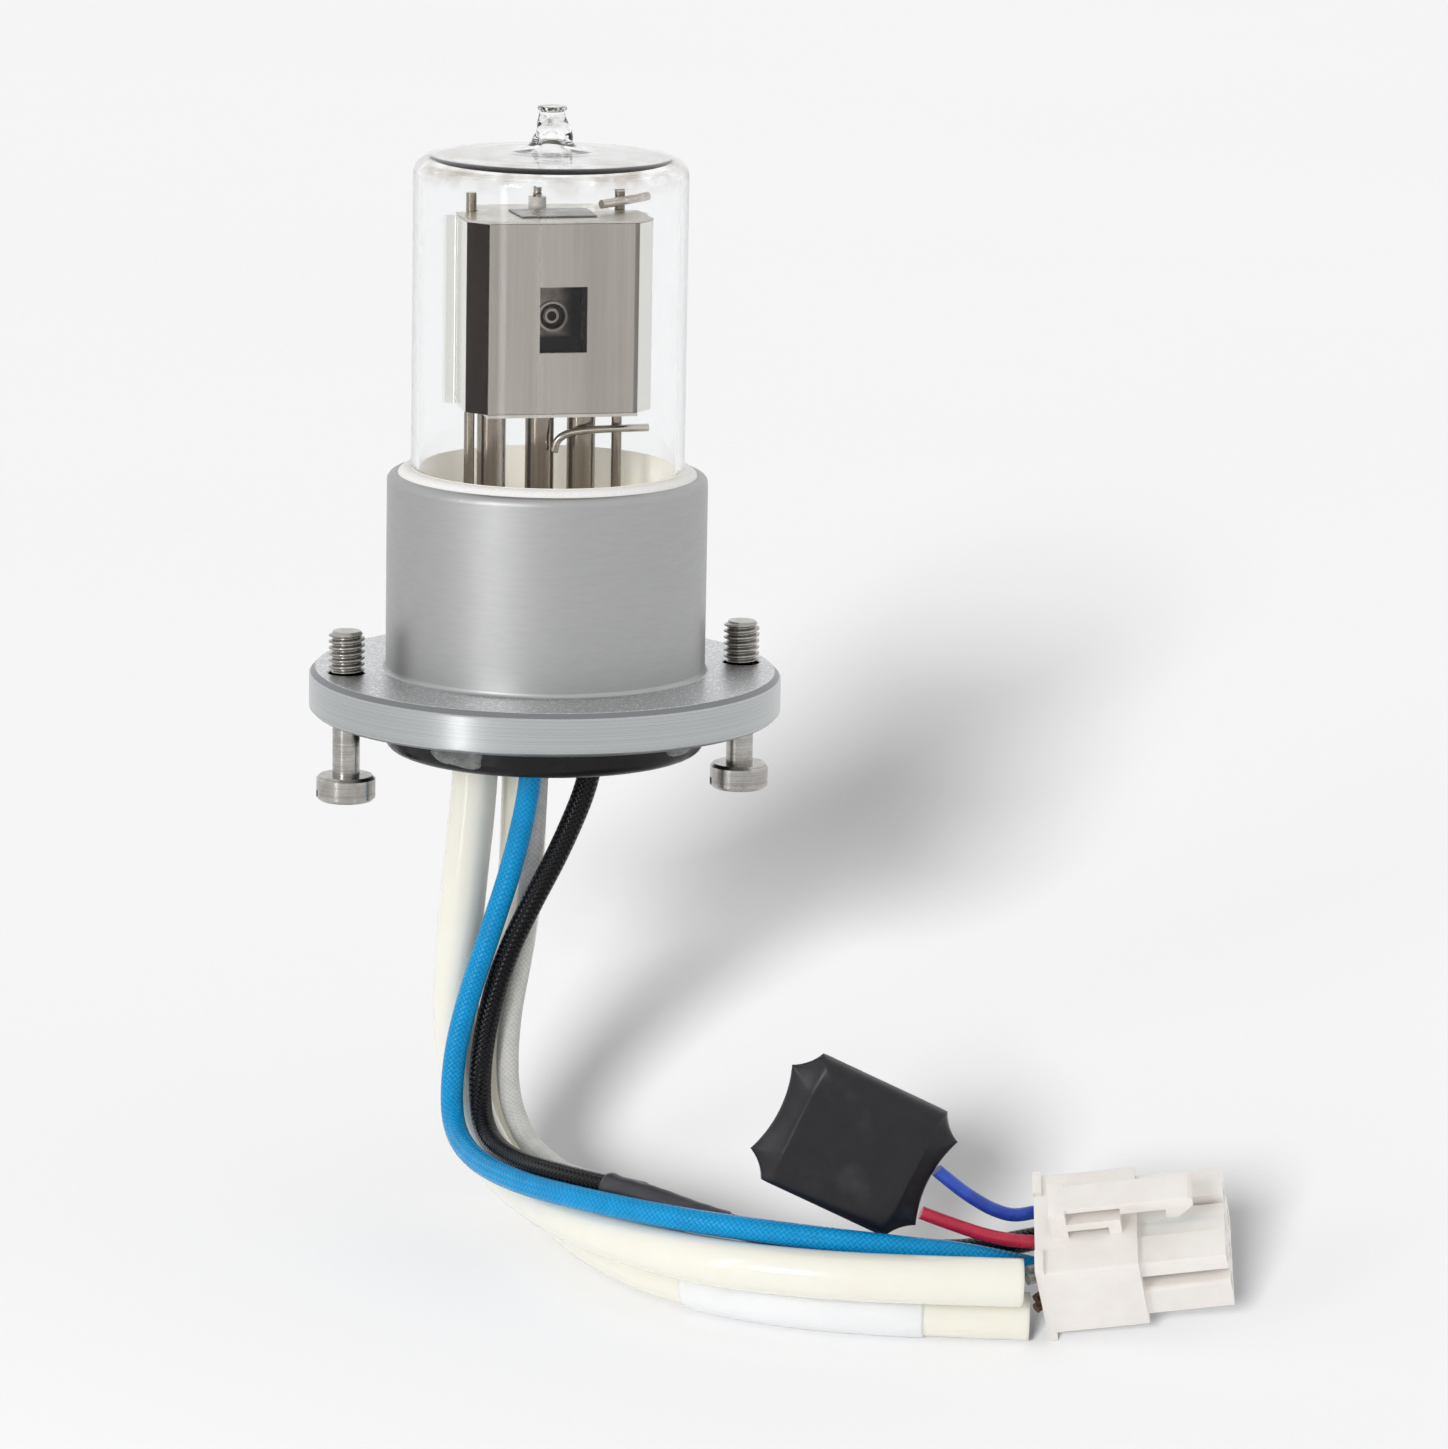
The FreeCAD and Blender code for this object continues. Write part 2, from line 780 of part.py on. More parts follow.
def base_potting():
    """White filling under the stem, round the crimped pin ends."""
    low = size.ledge_height + size.seat_gap
    high = size.bulb_foot - size.seat_gap
    body = new_body("base_potting")
    outline = draw(body, "potting_plan", "XY_Plane", [("circle", 0, 0, size.bulb_radius)], low)
    pad(body, outline, high - low)
    pocket(body, draw(body, "crimp_rooms", "XY_Plane", pin_circles(size.crimp_radius + size.seat_gap),
                      low), size.crimp_top + size.seat_gap - low, up=True)
    pocket(body, draw(body, "pin_rooms", "XY_Plane", pin_circles(size.pin_radius + size.seat_gap),
                      low), up=True)


def pin_crimps():
    """Crimp sleeves on the lower pin ends, one on each."""
    sleeves = []
    for k, (x, y) in enumerate(pin_places(), 1):
        shell = rod("crimp_shell_%d" % k, size.crimp_radius, size.crimp_bottom, size.crimp_top, x, y)
        room = rod("crimp_room_%d" % k, size.pin_radius + size.seat_gap,
                   size.pin_bottom - size.seat_gap, size.crimp_top, x, y)
        sleeves.append(cut("crimp_%d" % k, shell, [room]))
    keep(group("crimps", sleeves), "pin_crimps")


def glass_stem():
    """Thick glass disc that closes the bulb and carries the five pins."""
    rim = size.bulb_radius - size.bulb_wall - size.seat_gap
    body = new_body("glass_stem")
    turn(body, draw(body, "stem_section", "XZ_Plane", [[
        (0, size.bulb_foot), (rim, size.bulb_foot),
        (rim, size.stem_top - size.stem_edge, size.stem_edge),
        (rim - size.stem_edge, size.stem_top), (0, size.stem_top),
    ]]))
    pocket(body, draw(body, "stem_holes", "XY_Plane", pin_circles(size.pin_radius + size.seat_gap)),
           up=True)


def pins_and_tubes():
    places = pin_places()
    for side, (x, y) in zip(("left", "right"), places):
        keep(rod("support_" + side, size.pin_radius, size.pin_bottom,
                 size.box_top + size.pin_rise, x, y), "support_pin_" + side)
    cover_low = size.box_bottom - size.seat_gap - size.sheet
    for (side, x), (_, y) in zip(feeds(), places[2:]):
        keep(rod("feed_" + side, size.pin_radius, size.pin_bottom, size.box_bottom + size.feed_rise,
                 x, y), "lead_pin_" + side)
        low = size.stem_top + size.seat_gap
        high = cover_low - size.seat_gap
        shell = rod("tube_shell_" + side, size.tube_radius, low, high, x, y)
        room = rod("tube_room_" + side, size.pin_radius + size.wire_gap, low, high, x, y)
        keep(cut("tube_" + side, shell, [room]), "lead_tube_" + side)


# Electrode box

def front_shield():
    """Hat-shaped sheet with the emission window in its face."""
    wall = size.box_half
    face = -size.box_front
    wing = size.wing_back
    gauge = size.sheet
    body = new_body("front_shield")
    pad(body, draw(body, "front_plan", "XY_Plane", [[
        (-size.wing_half, wing - gauge), (-wall, wing - gauge), (-wall, face), (wall, face),
        (wall, wing - gauge), (size.wing_half, wing - gauge), (size.wing_half, wing),
        (wall - gauge, wing), (wall - gauge, face + gauge), (gauge - wall, face + gauge),
        (gauge - wall, wing), (-size.wing_half, wing),
    ]], size.box_bottom), size.box_top - size.box_bottom)
    outer = [(-wall, face), (wall, face)]
    inner = [(wall - gauge, face + gauge), (gauge - wall, face + gauge)]
    dress(body, "Fillet", edges_where(body, is_upright(outer)), size.fold + gauge)
    dress(body, "Fillet", edges_where(body, is_upright(inner)), size.fold)
    pocket(body, draw(body, "window", "XZ_Plane", [rounded(
        -size.window_left, size.window_right, size.arc_height - size.window_under,
        size.arc_height + size.window_over, size.window_corner)]), up=True)


def rear_shield():
    """Pan that closes the box from behind, spot-welded to the wings."""
    near = size.wing_back + size.seat_gap
    gauge = size.sheet
    wall = size.pan_half
    back = size.pan_back
    body = new_body("rear_shield")
    pad(body, draw(body, "rear_plan", "XY_Plane", [[
        (-size.wing_half, near), (gauge - wall, near), (gauge - wall, back - gauge),
        (wall - gauge, back - gauge), (wall - gauge, near), (size.wing_half, near),
        (size.wing_half, near + gauge), (wall, near + gauge), (wall, back), (-wall, back),
        (-wall, near + gauge), (-size.wing_half, near + gauge),
    ]], size.box_bottom), size.box_top - size.box_bottom)
    outer = [(-wall, back), (wall, back)]
    inner = [(wall - gauge, back - gauge), (gauge - wall, back - gauge)]
    dress(body, "Fillet", edges_where(body, is_upright(outer)), size.fold + gauge)
    dress(body, "Fillet", edges_where(body, is_upright(inner)), size.fold)


def cover_outline():
    """Outline of the box from above."""
    split = size.wing_back + size.seat_gap
    return [
        (-size.box_half, -size.box_front), (size.box_half, -size.box_front),
        (size.box_half, split), (size.pan_half, split), (size.pan_half, size.pan_back),
        (-size.pan_half, size.pan_back), (-size.pan_half, split), (-size.box_half, split),
    ]


def top_cover():
    """Lid with a raised bridge strip and a hole for the anode sleeve."""
    body = new_body("top_cover")
    low = size.box_top + size.seat_gap
    pad(body, draw(body, "top_plan", "XY_Plane", [cover_outline()], low), size.sheet)
    strip = [
        (-size.bridge_left, size.bridge_front), (size.bridge_right, size.bridge_front),
        (size.bridge_right, size.pan_back), (-size.bridge_left, size.pan_back),
    ]
    pad(body, draw(body, "bridge_plan", "XY_Plane", [strip], low + size.sheet), size.sheet)
    hole = ("circle", size.post_x, size.post_y, size.post_radius + size.seat_gap)
    pocket(body, draw(body, "post_hole", "XY_Plane", [hole], low), up=True)


def bottom_cover():
    """Floor of the box with a hole for each fed-through pin."""
    body = new_body("bottom_cover")
    low = size.box_bottom - size.seat_gap - size.sheet
    pad(body, draw(body, "bottom_plan", "XY_Plane", [cover_outline()], low), size.sheet)
    holes = [("circle", x, size.feed_y, size.pin_radius + size.wire_gap) for _, x in feeds()]
    pocket(body, draw(body, "feed_holes", "XY_Plane", holes, low), up=True)


def aperture_plate():
    """Slightly bowed plate behind the window with a hole for the arc cup."""
    half = size.plate_half
    face = -size.plate_face
    bow = size.plate_bow
    drop = float(bow) - math.sqrt(float(bow) ** 2 - float(half) ** 2)
    edge = face + Size(drop, "(%s - sqrt(%s * %s - %s * %s))" % (
        bow.text, bow.text, bow.text, half.text, half.text))
    body = new_body("aperture_plate")
    gauge = size.sheet
    low = size.arc_height - size.plate_under
    pad(body, draw(body, "plate_plan", "XY_Plane", [[
        (-half, edge, bow), (0, face, bow), (half, edge),
        (half, edge + gauge, -bow), (0, face + gauge, -bow), (-half, edge + gauge),
    ]], low), size.box_top - size.seat_gap - low)
    hole = ("circle", 0, size.arc_height, size.cup_radius + size.seat_gap)
    pocket(body, draw(body, "cup_hole_plan", "XZ_Plane", [hole]), both=True)


def arc_cup():
    """Stepped cup that pinches the discharge to a bright spot."""
    body = new_body("arc_cup")
    turn(body, draw(body, "cup_section", "XZ_Plane", [[
        (size.cup_hole, -size.cup_back), (size.cup_radius, -size.cup_back),
        (size.cup_radius, size.cup_front), (size.cup_mouth, size.cup_front),
        (size.cup_floor, -size.cup_step), (size.cup_ring, -size.cup_step),
        (size.cup_ring, size.cup_step / 2), (size.cup_hole, size.cup_step / 2),
    ]]))
    body.Placement = place(V(0, 0, 0), (0, 0, 90))
    move(body, 0, -(size.plate_face - size.cup_step), size.arc_height)


def anode_block():
    """Ceramic block behind the aperture plate and the anode on its back."""
    arc = size.arc_height
    low = (-size.block_half, size.block_front, arc - size.block_under)
    high = (size.block_half, size.block_back, size.box_top - size.cap_gap)
    bore = doc.addObject("Part::Cylinder", "block_bore")
    bind(bore, "Radius", size.cup_floor)
    bind(bore, "Height", size.block_back)
    bore.Placement = place(V(0, 0, 0), (0, 0, -90))
    move(bore, 0, 0, arc)
    keep(cut("block_cut", block("block_solid", low, high), [bore]), "anode_insulator")
    back = size.block_back + size.seat_gap
    keep(block("anode_solid", (-size.anode_half, back, arc - size.anode_under),
               (size.anode_half, back + size.sheet, arc + size.anode_over)), "anode_plate")


def cathode_shield():
    """Angled guard beside the window with a slit for the discharge."""
    gauge = size.sheet
    near = gauge + size.seat_gap - size.box_front
    low = size.arc_height - size.guard_under
    body = new_body("cathode_shield")
    pad(body, draw(body, "guard_plan", "XY_Plane", [[
        (size.guard_x, near), (size.guard_x + size.guard_foot, near),
        (size.guard_x + size.guard_foot, near + gauge), (size.guard_x + gauge, near + gauge),
        (size.guard_x + gauge, -size.guard_back), (size.guard_x, -size.guard_back),
    ]], low), size.guard_under + size.guard_over)
    slit = rounded(-size.slit_front, -size.slit_back, size.arc_height - size.slit_under,
                   size.arc_height + size.slit_over, size.slit_corner)
    pocket(body, draw(body, "slit", "YZ_Plane", [slit], size.guard_x), 2 * gauge, up=True)


def cathode_coil():
    """Heater coil with one leg towards its pin and the other towards the guard."""
    radius = float(size.coil_radius)
    pitch = float(size.coil_pitch)
    wire = float(size.coil_wire)
    height = pitch * float(size.coil_turns)
    foot = V(float(size.coil_x) + radius, float(size.coil_y), float(size.arc_height - size.coil_under))
    head = foot + V(0, 0, height)
    helix = Part.makeHelix(pitch, height, radius)
    slope = math.atan2(pitch, 2 * math.pi * radius)
    ring = Part.Wire([Part.Circle(V(radius, 0, 0), V(0, math.cos(slope), math.sin(slope)),
                                  wire).toShape()])
    coil = Part.Wire(helix.Edges).makePipeShell([ring], True, True)
    coil.translate(foot - V(radius, 0, 0))
    pin_x = float(size.feed_right)
    pin_y = float(size.feed_y - size.pin_radius - size.seat_gap) - wire
    pin_z = float(size.box_bottom + size.feed_rise)
    drop = float(size.leg_slope)
    guard = float(size.guard_x + size.sheet + size.seat_gap) + wire
    rise = float(size.leg_rise)
    low_leg = path_edges([foot, V(foot.x, foot.y, pin_z + drop), V(pin_x, pin_y, pin_z - drop)])
    high_leg = path_edges([head, head + V(0, 0, rise), V(guard, head.y, head.z + rise + drop)])
    welds = [Part.makeSphere(wire, end) for end in (foot, head)]
    made = doc.addObject("Part::Feature", "coil_shape")
    made.Shape = coil.fuse(welds + [swept(low_leg, wire), swept(high_leg, wire)])
    keep(made, "cathode_coil")


def box_wires():
    """Anode lead in its ceramic sleeve, and the two stiff wires welded to the right pin."""
    x = size.post_x
    y = size.post_y
    post_low = size.box_top - size.post_half
    post_high = size.box_top + size.post_half
    shell = rod("post_shell", size.post_radius, post_low, post_high, x, y)
    room = rod("post_room", size.anode_wire_radius + size.wire_gap, post_low, post_high, x, y)
    keep(cut("post", shell, [room]), "anode_sleeve")
    behind = size.block_back + size.seat_gap + size.sheet + size.wire_gap + size.anode_wire_radius
    weld = size.arc_height + size.anode_over
    wire_part("anode_wire", [
        (x, y, size.box_top + size.anode_wire_rise), (x, y, post_low - 1.0),
        (x, behind, weld - 1.2), (x, behind, size.arc_height),
    ], size.anode_wire_radius)
    right = size.support_x
    low = size.box_bottom - size.strap_drop
    front = size.wing_back - 0.2
    wire_part("bent_strap", [
        (right + size.strap_out, front, low), (right - 0.3, front, low - 0.1),
        (right - size.strap_in, front, low - 0.3),
        (right - size.strap_end, front + 0.5, low - size.strap_dip),
    ], size.strap_radius)
    top = size.box_top + size.cross_rise
    wire_part("cross_wire", [
        (right - size.cross_in, 0, top), (right + 0.3, front, top + 0.2),
        (right + size.cross_out, front + size.cross_back, top + 0.35),
    ], size.cross_radius)


# Leads

def full_route(route):
    """A lead's points, from the bottom of its recess in the cap."""
    start = -(size.disc_thick + size.seat_gap + size.cap_thick - size.lead_recess)
    return [(route[0][0], route[0][1], start)] + route[1:]


def plug_point(column, row, x=-0.1):
    """The mouth of one cavity of the connector, in the lamp's frame."""
    own = V(x, column * float(size.plug_pitch), row * float(size.plug_row))
    return place(PLUG_AT, PLUG_TURN).multVec(own)


def pouch_point(own):
    """A point of the module's own frame in the lamp's frame."""
    return place(POUCH_AT, POUCH_TURN).multVec(V(*own))


def sleeve_over(edges, start, end, radius, bore):
    """Tube round a stretch of a lead."""
    piece = stretch(edges, start, end)
    return swept(piece, radius).cut(swept(piece, bore))


def leads():
    """The blue and black leads run into the connector, the cream sleeves stop just before it.

    The white lead ends beside the black one, and one shrunk sleeve closes over both.
    """
    before = -float(size.entry_gap)
    ends = {"blue_lead": [plug_point(0, -1, before)], "black_lead": [plug_point(1, -1, before)]}
    paths = {}
    for name, (route, radius) in LEADS.items():
        paths[name] = wire_part(name, full_route(route) + ends.get(name, []), radius)
    static("marker_sleeve", sleeve_over(paths["cream_sleeve_b"], size.marker_start, size.marker_end,
                                        size.marker_radius, size.cream_radius + size.seat_gap))
    bore = size.braid_radius + size.seat_gap
    white = paths["white_lead"]
    white_long = sum(edge.Length for edge in white)
    tail = stretch(white, white_long - float(size.white_tail), white_long)
    beside = stretch(white, white_long - 2 * float(size.white_tail), white_long)
    black = stretch(paths["black_lead"], size.splice_start, size.splice_end)
    closed = Part.makeSphere(float(size.splice_radius), tail[-1].valueAt(tail[-1].LastParameter))
    sleeve = swept(black, size.splice_radius).fuse([swept(tail, size.splice_radius), closed])
    static("splice_sleeve", sleeve.cut([swept(black, bore), swept(beside, bore)]))


def inner_wires():
    """Bare wires that run on from the two cream sleeves into the outer column of cavities."""
    step = float(size.inner_radius + size.seat_gap)
    gap = float(size.inner_radius + size.wire_gap)
    spread = float(size.cream_radius - 2 * size.inner_radius)
    for name, route, row in (("sleeve_a_wires", CREAM_A, 1), ("sleeve_b_wires", CREAM_B, -1)):
        last = V(*route[-1])
        along = (last - V(*route[-2])).normalize()
        mouth = plug_point(-1, row)
        aside = mouth - last
        aside = aside - along * aside.dot(along)
        shift = aside * (min(spread, aside.Length) / aside.Length)
        apart = (plug_point(0, row) - mouth).normalize() * step
        wires = []
        for k, way in enumerate((-1, 1), 1):
            rod_path = [Part.LineSegment(last + along * gap + shift + apart * way,
                                         mouth + apart * way).toShape()]
            made = doc.addObject("Part::Feature", "%s_%d" % (name, k))
            made.Shape = swept(rod_path, size.inner_radius)
            wires.append(made)
        keep(group(name + "_pair", wires), name)


# Connector

def plug_columns():
    """Each cavity's own Y and Z."""
    return [(column * size.plug_pitch, row * size.plug_row)
            for row in (-1, 1) for column in (-1, 0, 1)]


def barrel_outlines():
    """Front outlines of the six barrels: the shapes key the plug to its mate."""
    wide = size.barrel_wide / 2
    tall = size.barrel_tall / 2
    corner = size.barrel_cut
    bend = size.barrel_round
    low = size.plug_row - tall
    high = size.plug_row + tall
    outlines = [[(-wide, low), (wide, low), (wide, high - size.barrel_recess),
                 (-wide, high - size.barrel_recess)]]
    for side in (-1, 1):
        inner = side * (size.plug_pitch - wide)
        outer = side * (size.plug_pitch + wide)
        outlines.append([(inner, low), (outer - side * corner, low), (outer, low + corner),
                         (outer, high), (inner, high)])
    for column in (-1, 0, 1):
        left = column * size.plug_pitch - wide
        right = column * size.plug_pitch + wide
        outlines.append([(left, -high), (right, -high), (right, -low - bend, bend),
                         (right - bend, -low), (left + bend, -low, bend), (left, -low - bend)])
    return outlines


def connector():
    """Nylon housing of two rows of three, with a sprung latch along the middle of one face."""
    wide = size.plug_wide / 2
    thick = size.plug_thick / 2
    body = new_body("connector_housing")
    pad(body, draw(body, "plug_block", "YZ_Plane", [rounded(-wide, wide, -thick, thick,
                                                            size.plug_edge)]), size.plug_body)
    pad(body, draw(body, "plug_barrels", "YZ_Plane", barrel_outlines(), size.plug_body),
        size.barrel_long)
    face = thick - size.plug_edge
    tabs = [[(side * wide - way, face), (side * wide, face),
             (side * wide, thick + size.tab_rise), (side * wide - way, thick + size.tab_rise)]
            for side, way in ((1, size.tab_wide), (-1, -size.tab_wide))]
    feet = [[(side * wide - way, -face), (side * wide, -face),
             (side * wide, -thick - size.foot_rise), (side * wide - way, -thick - size.foot_rise)]
            for side, way in ((1, size.foot_wide), (-1, -size.foot_wide))]
    pad(body, draw(body, "plug_tabs", "YZ_Plane", tabs + feet), size.tab_long)

    top = size.latch_top
    under = thick + size.bridge_rise
    slot = thick + size.bridge_slot
    leg = size.bridge_end - size.bridge_leg
    pad(body, draw(body, "latch_bridge", "XZ_Plane", [[
        (size.pad_start, face), (size.latch_start, face), (size.latch_start, slot), (leg, slot),
        (leg, face), (size.bridge_end, face), (size.bridge_end, under), (size.latch_start, under),
        (size.latch_start, top), (size.pad_start, top),
    ]]), 2 * size.bridge_half, both=True)
    thin = top - size.latch_thin
    low = top - size.latch_thick
    hook = top - size.hook_drop
    pad(body, draw(body, "latch_arm", "XZ_Plane", [[
        (size.pad_start, thin), (size.latch_bend, thin), (size.latch_bend, low),
        (size.hook_start, low), (size.hook_start, hook), (size.hook_start + size.hook_flat, hook),
        (size.hook_end, top - size.hook_nose), (size.hook_end, top - size.hook_edge),
        (size.hook_end - size.hook_edge, top), (size.pad_start, top),
    ]]), 2 * size.latch_half, both=True)

    room = size.cavity / 2
    rooms = [[(y - room, z - room), (y + room, z - room), (y + room, z + room), (y - room, z + room)]
             for y, z in plug_columns()]
    pocket(body, draw(body, "cavities", "YZ_Plane", rooms), size.cavity_deep, up=True)
    sockets = [("circle", y, z, size.socket_radius) for y, z in plug_columns()]
    pocket(body, draw(body, "sockets", "YZ_Plane", sockets), up=True)
    body.Placement = place(PLUG_AT, PLUG_TURN)

    pins = []
    for k, (y, z) in enumerate(plug_columns(), 1):
        pin = doc.addObject("Part::Cylinder", "terminal_%d" % k)
        bind(pin, "Radius", size.terminal_radius)
        bind(pin, "Height", size.terminal_long)
        pin.Placement = FreeCAD.Placement(V(0, 0, 0), FreeCAD.Rotation(V(0, 1, 0), 90))
        move(pin, size.terminal_start, y, z)
        pins.append(pin)
    terminals = group("terminal_group", pins)
    terminals.Placement = place(PLUG_AT, PLUG_TURN)
    keep(terminals, "connector_terminals")


# Module

def module_sleeve():
    """Flat pouch of heat-shrink film, thick in the middle and pinched to flat ends."""
    body = new_body("module_sleeve")
    straight = size.pouch_straight
    side = size.pouch_side
    tip_x = size.pouch_half
    tip_y = size.pouch_tip
    hollow = size.pouch_hollow
    scallop = size.pouch_scallop
    pad(body, draw(body, "pouch_plan", "XY_Plane", [[
        (-straight, -side), (straight, -side, -scallop), (tip_x, -tip_y, -hollow),
        (tip_x, tip_y, -scallop), (straight, side), (-straight, side, -scallop),
        (-tip_x, tip_y, -hollow), (-tip_x, -tip_y, -scallop),
    ]]), size.pouch_thick, both=True)
    high = size.pouch_thick / 2
    thin = size.pouch_end / 2
    for sign, name in ((1, "pouch_top"), (-1, "pouch_under")):
        for way, tag in ((1, "right"), (-1, "left")):
            wedge = [
                (way * size.pouch_straight / 2, sign * high), (way * (tip_x + 1.0), sign * high),
                (way * (tip_x + 1.0), sign * thin), (way * tip_x, sign * thin),
            ]
            pocket(body, draw(body, "%s_%s" % (name, tag), "XZ_Plane", [wedge]), both=True)
    body.Placement = place(POUCH_AT, POUCH_TURN)


def module_leads():
    wire_part("module_lead_blue", [pouch_point(POUCH_BLUE)] + MODULE_BLUE + [plug_point(1, 1)],
              size.thin_radius)
    wire_part("module_lead_red", [pouch_point(POUCH_RED)] + MODULE_RED + [plug_point(0, 1)],
              size.thin_radius)


base_flange()
captive_screw("captive_screw_left", -size.screw_offset)
captive_screw("captive_screw_right", size.screw_offset)
bulb_envelope()
cement_ring()
potting_cap()
base_potting()
pin_crimps()
glass_stem()
pins_and_tubes()
front_shield()
rear_shield()
top_cover()
bottom_cover()
aperture_plate()
arc_cup()
anode_block()
cathode_shield()
cathode_coil()
box_wires()
leads()
inner_wires()
connector()
module_sleeve()
module_leads()
doc.recompute()

for thing in doc.Objects:
    if "Invalid" in thing.State or "Error" in thing.State:
        raise RuntimeError("%s failed: %s" % (thing.Name, thing.State))
for thing in PARTS:
    if thing.Shape.isNull() or not thing.Shape.isValid():
        raise RuntimeError("%s has no valid shape" % thing.Label)

os.makedirs("parts", exist_ok=True)
for thing in PARTS:
    thing.Shape.exportStep("parts/%s.step" % thing.Label)
print("%d parts written" % len(PARTS))
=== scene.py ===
# %% [markdown]
# A deuterium lamp for an analytical instrument: a sealed silica bulb with a folded metal
# electrode box inside, cemented into a turned aluminium flange, two captive screws, and a
# bundle of leads that lies on the bench and ends in a six-way nylon plug and a small module
# in a heat-shrink pouch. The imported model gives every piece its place, in metres. This script
# only adds what the plain solids lack: smooth glass, threads, soft leads, and finishes.

import math

import bmesh
import bpy
import numpy as np
from mathutils import Matrix, Vector


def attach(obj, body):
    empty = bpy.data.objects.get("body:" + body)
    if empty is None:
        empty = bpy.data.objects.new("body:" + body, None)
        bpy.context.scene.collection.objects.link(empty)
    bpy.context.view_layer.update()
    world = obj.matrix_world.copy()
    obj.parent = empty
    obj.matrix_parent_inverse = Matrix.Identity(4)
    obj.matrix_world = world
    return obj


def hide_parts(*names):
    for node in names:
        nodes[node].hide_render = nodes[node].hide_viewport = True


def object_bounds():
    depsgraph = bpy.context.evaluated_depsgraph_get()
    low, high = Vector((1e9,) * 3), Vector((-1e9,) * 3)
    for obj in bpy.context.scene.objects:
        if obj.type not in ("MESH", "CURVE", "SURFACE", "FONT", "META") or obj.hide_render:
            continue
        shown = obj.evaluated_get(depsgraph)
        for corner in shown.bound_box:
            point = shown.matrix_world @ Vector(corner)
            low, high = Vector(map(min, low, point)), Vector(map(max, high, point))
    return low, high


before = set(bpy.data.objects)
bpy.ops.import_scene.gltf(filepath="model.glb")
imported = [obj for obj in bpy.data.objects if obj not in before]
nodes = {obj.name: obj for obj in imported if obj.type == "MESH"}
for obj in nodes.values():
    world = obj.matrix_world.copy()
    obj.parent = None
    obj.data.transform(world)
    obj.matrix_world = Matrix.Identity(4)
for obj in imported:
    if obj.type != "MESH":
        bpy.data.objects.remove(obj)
cad_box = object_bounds()
MM = 0.001
print("nodes:", len(nodes), "box:", cad_box)

# %% [markdown]
# The camera stands a little left of the lamp's front and looks down on it. Its place was found
# by matching the round edges of the flange and the corners of the electrode box with the
# picture, so it is written as a real camera stand: azimuth, distance, height, and three turns.

# %% Camera
PICTURE_WIDTH = 1448
FOCAL_PIXELS = 6164.66
SENSOR_WIDTH = 36.0
CAMERA_AZIMUTH = math.radians(-11.718)
CAMERA_DISTANCE = 667.259 * MM
CAMERA_HEIGHT = 132.659 * MM
CAMERA_PITCH = math.radians(11.754)
CAMERA_YAW = math.radians(1.703)
CAMERA_ROLL = math.radians(1.065)


def camera_axes():
    """Right, up and forward of the camera: azimuth first, then yaw, pitch and roll."""
    back = Vector((math.sin(CAMERA_AZIMUTH), -math.cos(CAMERA_AZIMUTH), 0))
    side = Vector((math.cos(CAMERA_AZIMUTH), math.sin(CAMERA_AZIMUTH), 0))
    ahead = -back * math.cos(CAMERA_YAW) + side * math.sin(CAMERA_YAW)
    right = side * math.cos(CAMERA_YAW) + back * math.sin(CAMERA_YAW)
    forward = ahead * math.cos(CAMERA_PITCH) - Vector((0, 0, math.sin(CAMERA_PITCH)))
    up = ahead * math.sin(CAMERA_PITCH) + Vector((0, 0, math.cos(CAMERA_PITCH)))
    rolled_right = right * math.cos(CAMERA_ROLL) + up * math.sin(CAMERA_ROLL)
    rolled_up = up * math.cos(CAMERA_ROLL) - right * math.sin(CAMERA_ROLL)
    return back, rolled_right, rolled_up, forward


camera_back, camera_right, camera_up, camera_forward = camera_axes()
camera_data = bpy.data.cameras.new("camera")
camera_data.sensor_fit = "HORIZONTAL"
camera_data.sensor_width = SENSOR_WIDTH
camera_data.lens = FOCAL_PIXELS / PICTURE_WIDTH * SENSOR_WIDTH
camera_data.clip_start = 0.01
camera = bpy.data.objects.new("camera", camera_data)
turned = Matrix((camera_right, camera_up, -camera_forward)).transposed().to_4x4()
camera.matrix_world = Matrix.Translation(
    camera_back * CAMERA_DISTANCE + Vector((0, 0, CAMERA_HEIGHT))) @ turned
bpy.context.scene.collection.objects.link(camera)
bpy.context.scene.camera = camera
print("lens %.1f mm" % camera_data.lens)

# %% [markdown]
# Nearly every new piece is a surface on a grid: rows of points that follow one parameter,
# columns that follow the other. One helper turns such a grid into a mesh. It can close the grid round
# (a tube) and close its ends with one face each. Surfaces that run into a pole or a seam are
# closed up afterwards: doubled points are merged and every face is turned outward.

# %% Surface helper
def grid_faces(rows, columns, around):
    """Quads between neighbours of a grid; the last column joins the first where it goes round."""
    row, column = np.meshgrid(np.arange(rows - 1), np.arange(columns if around else columns - 1),
                              indexing="ij")
    beside = (column + 1) % columns
    here = row * columns
    quads = np.stack([here + column, here + beside, here + columns + beside,
                      here + columns + column], axis=-1)
    return quads.reshape(-1, 4)


def add_piece(name, points, faces, body="root", smooth=True):
    """Mesh object from points in metres and a list of faces, riding on a body."""
    mesh = bpy.data.meshes.new(name)
    mesh.from_pydata(np.asarray(points).reshape(-1, 3).tolist(), [], faces)
    mesh.validate()
    mesh.shade_smooth() if smooth else mesh.shade_flat()
    piece = bpy.data.objects.new(name, mesh)
    bpy.context.scene.collection.objects.link(piece)
    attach(piece, body)
    return piece


def tube_faces(rows, columns):
    """Faces of a closed tube: quads round it and one cap at each end."""
    faces = grid_faces(rows, columns, around=True).tolist()
    faces.append(list(range(columns))[::-1])
    faces.append(list(range((rows - 1) * columns, rows * columns)))
    return faces


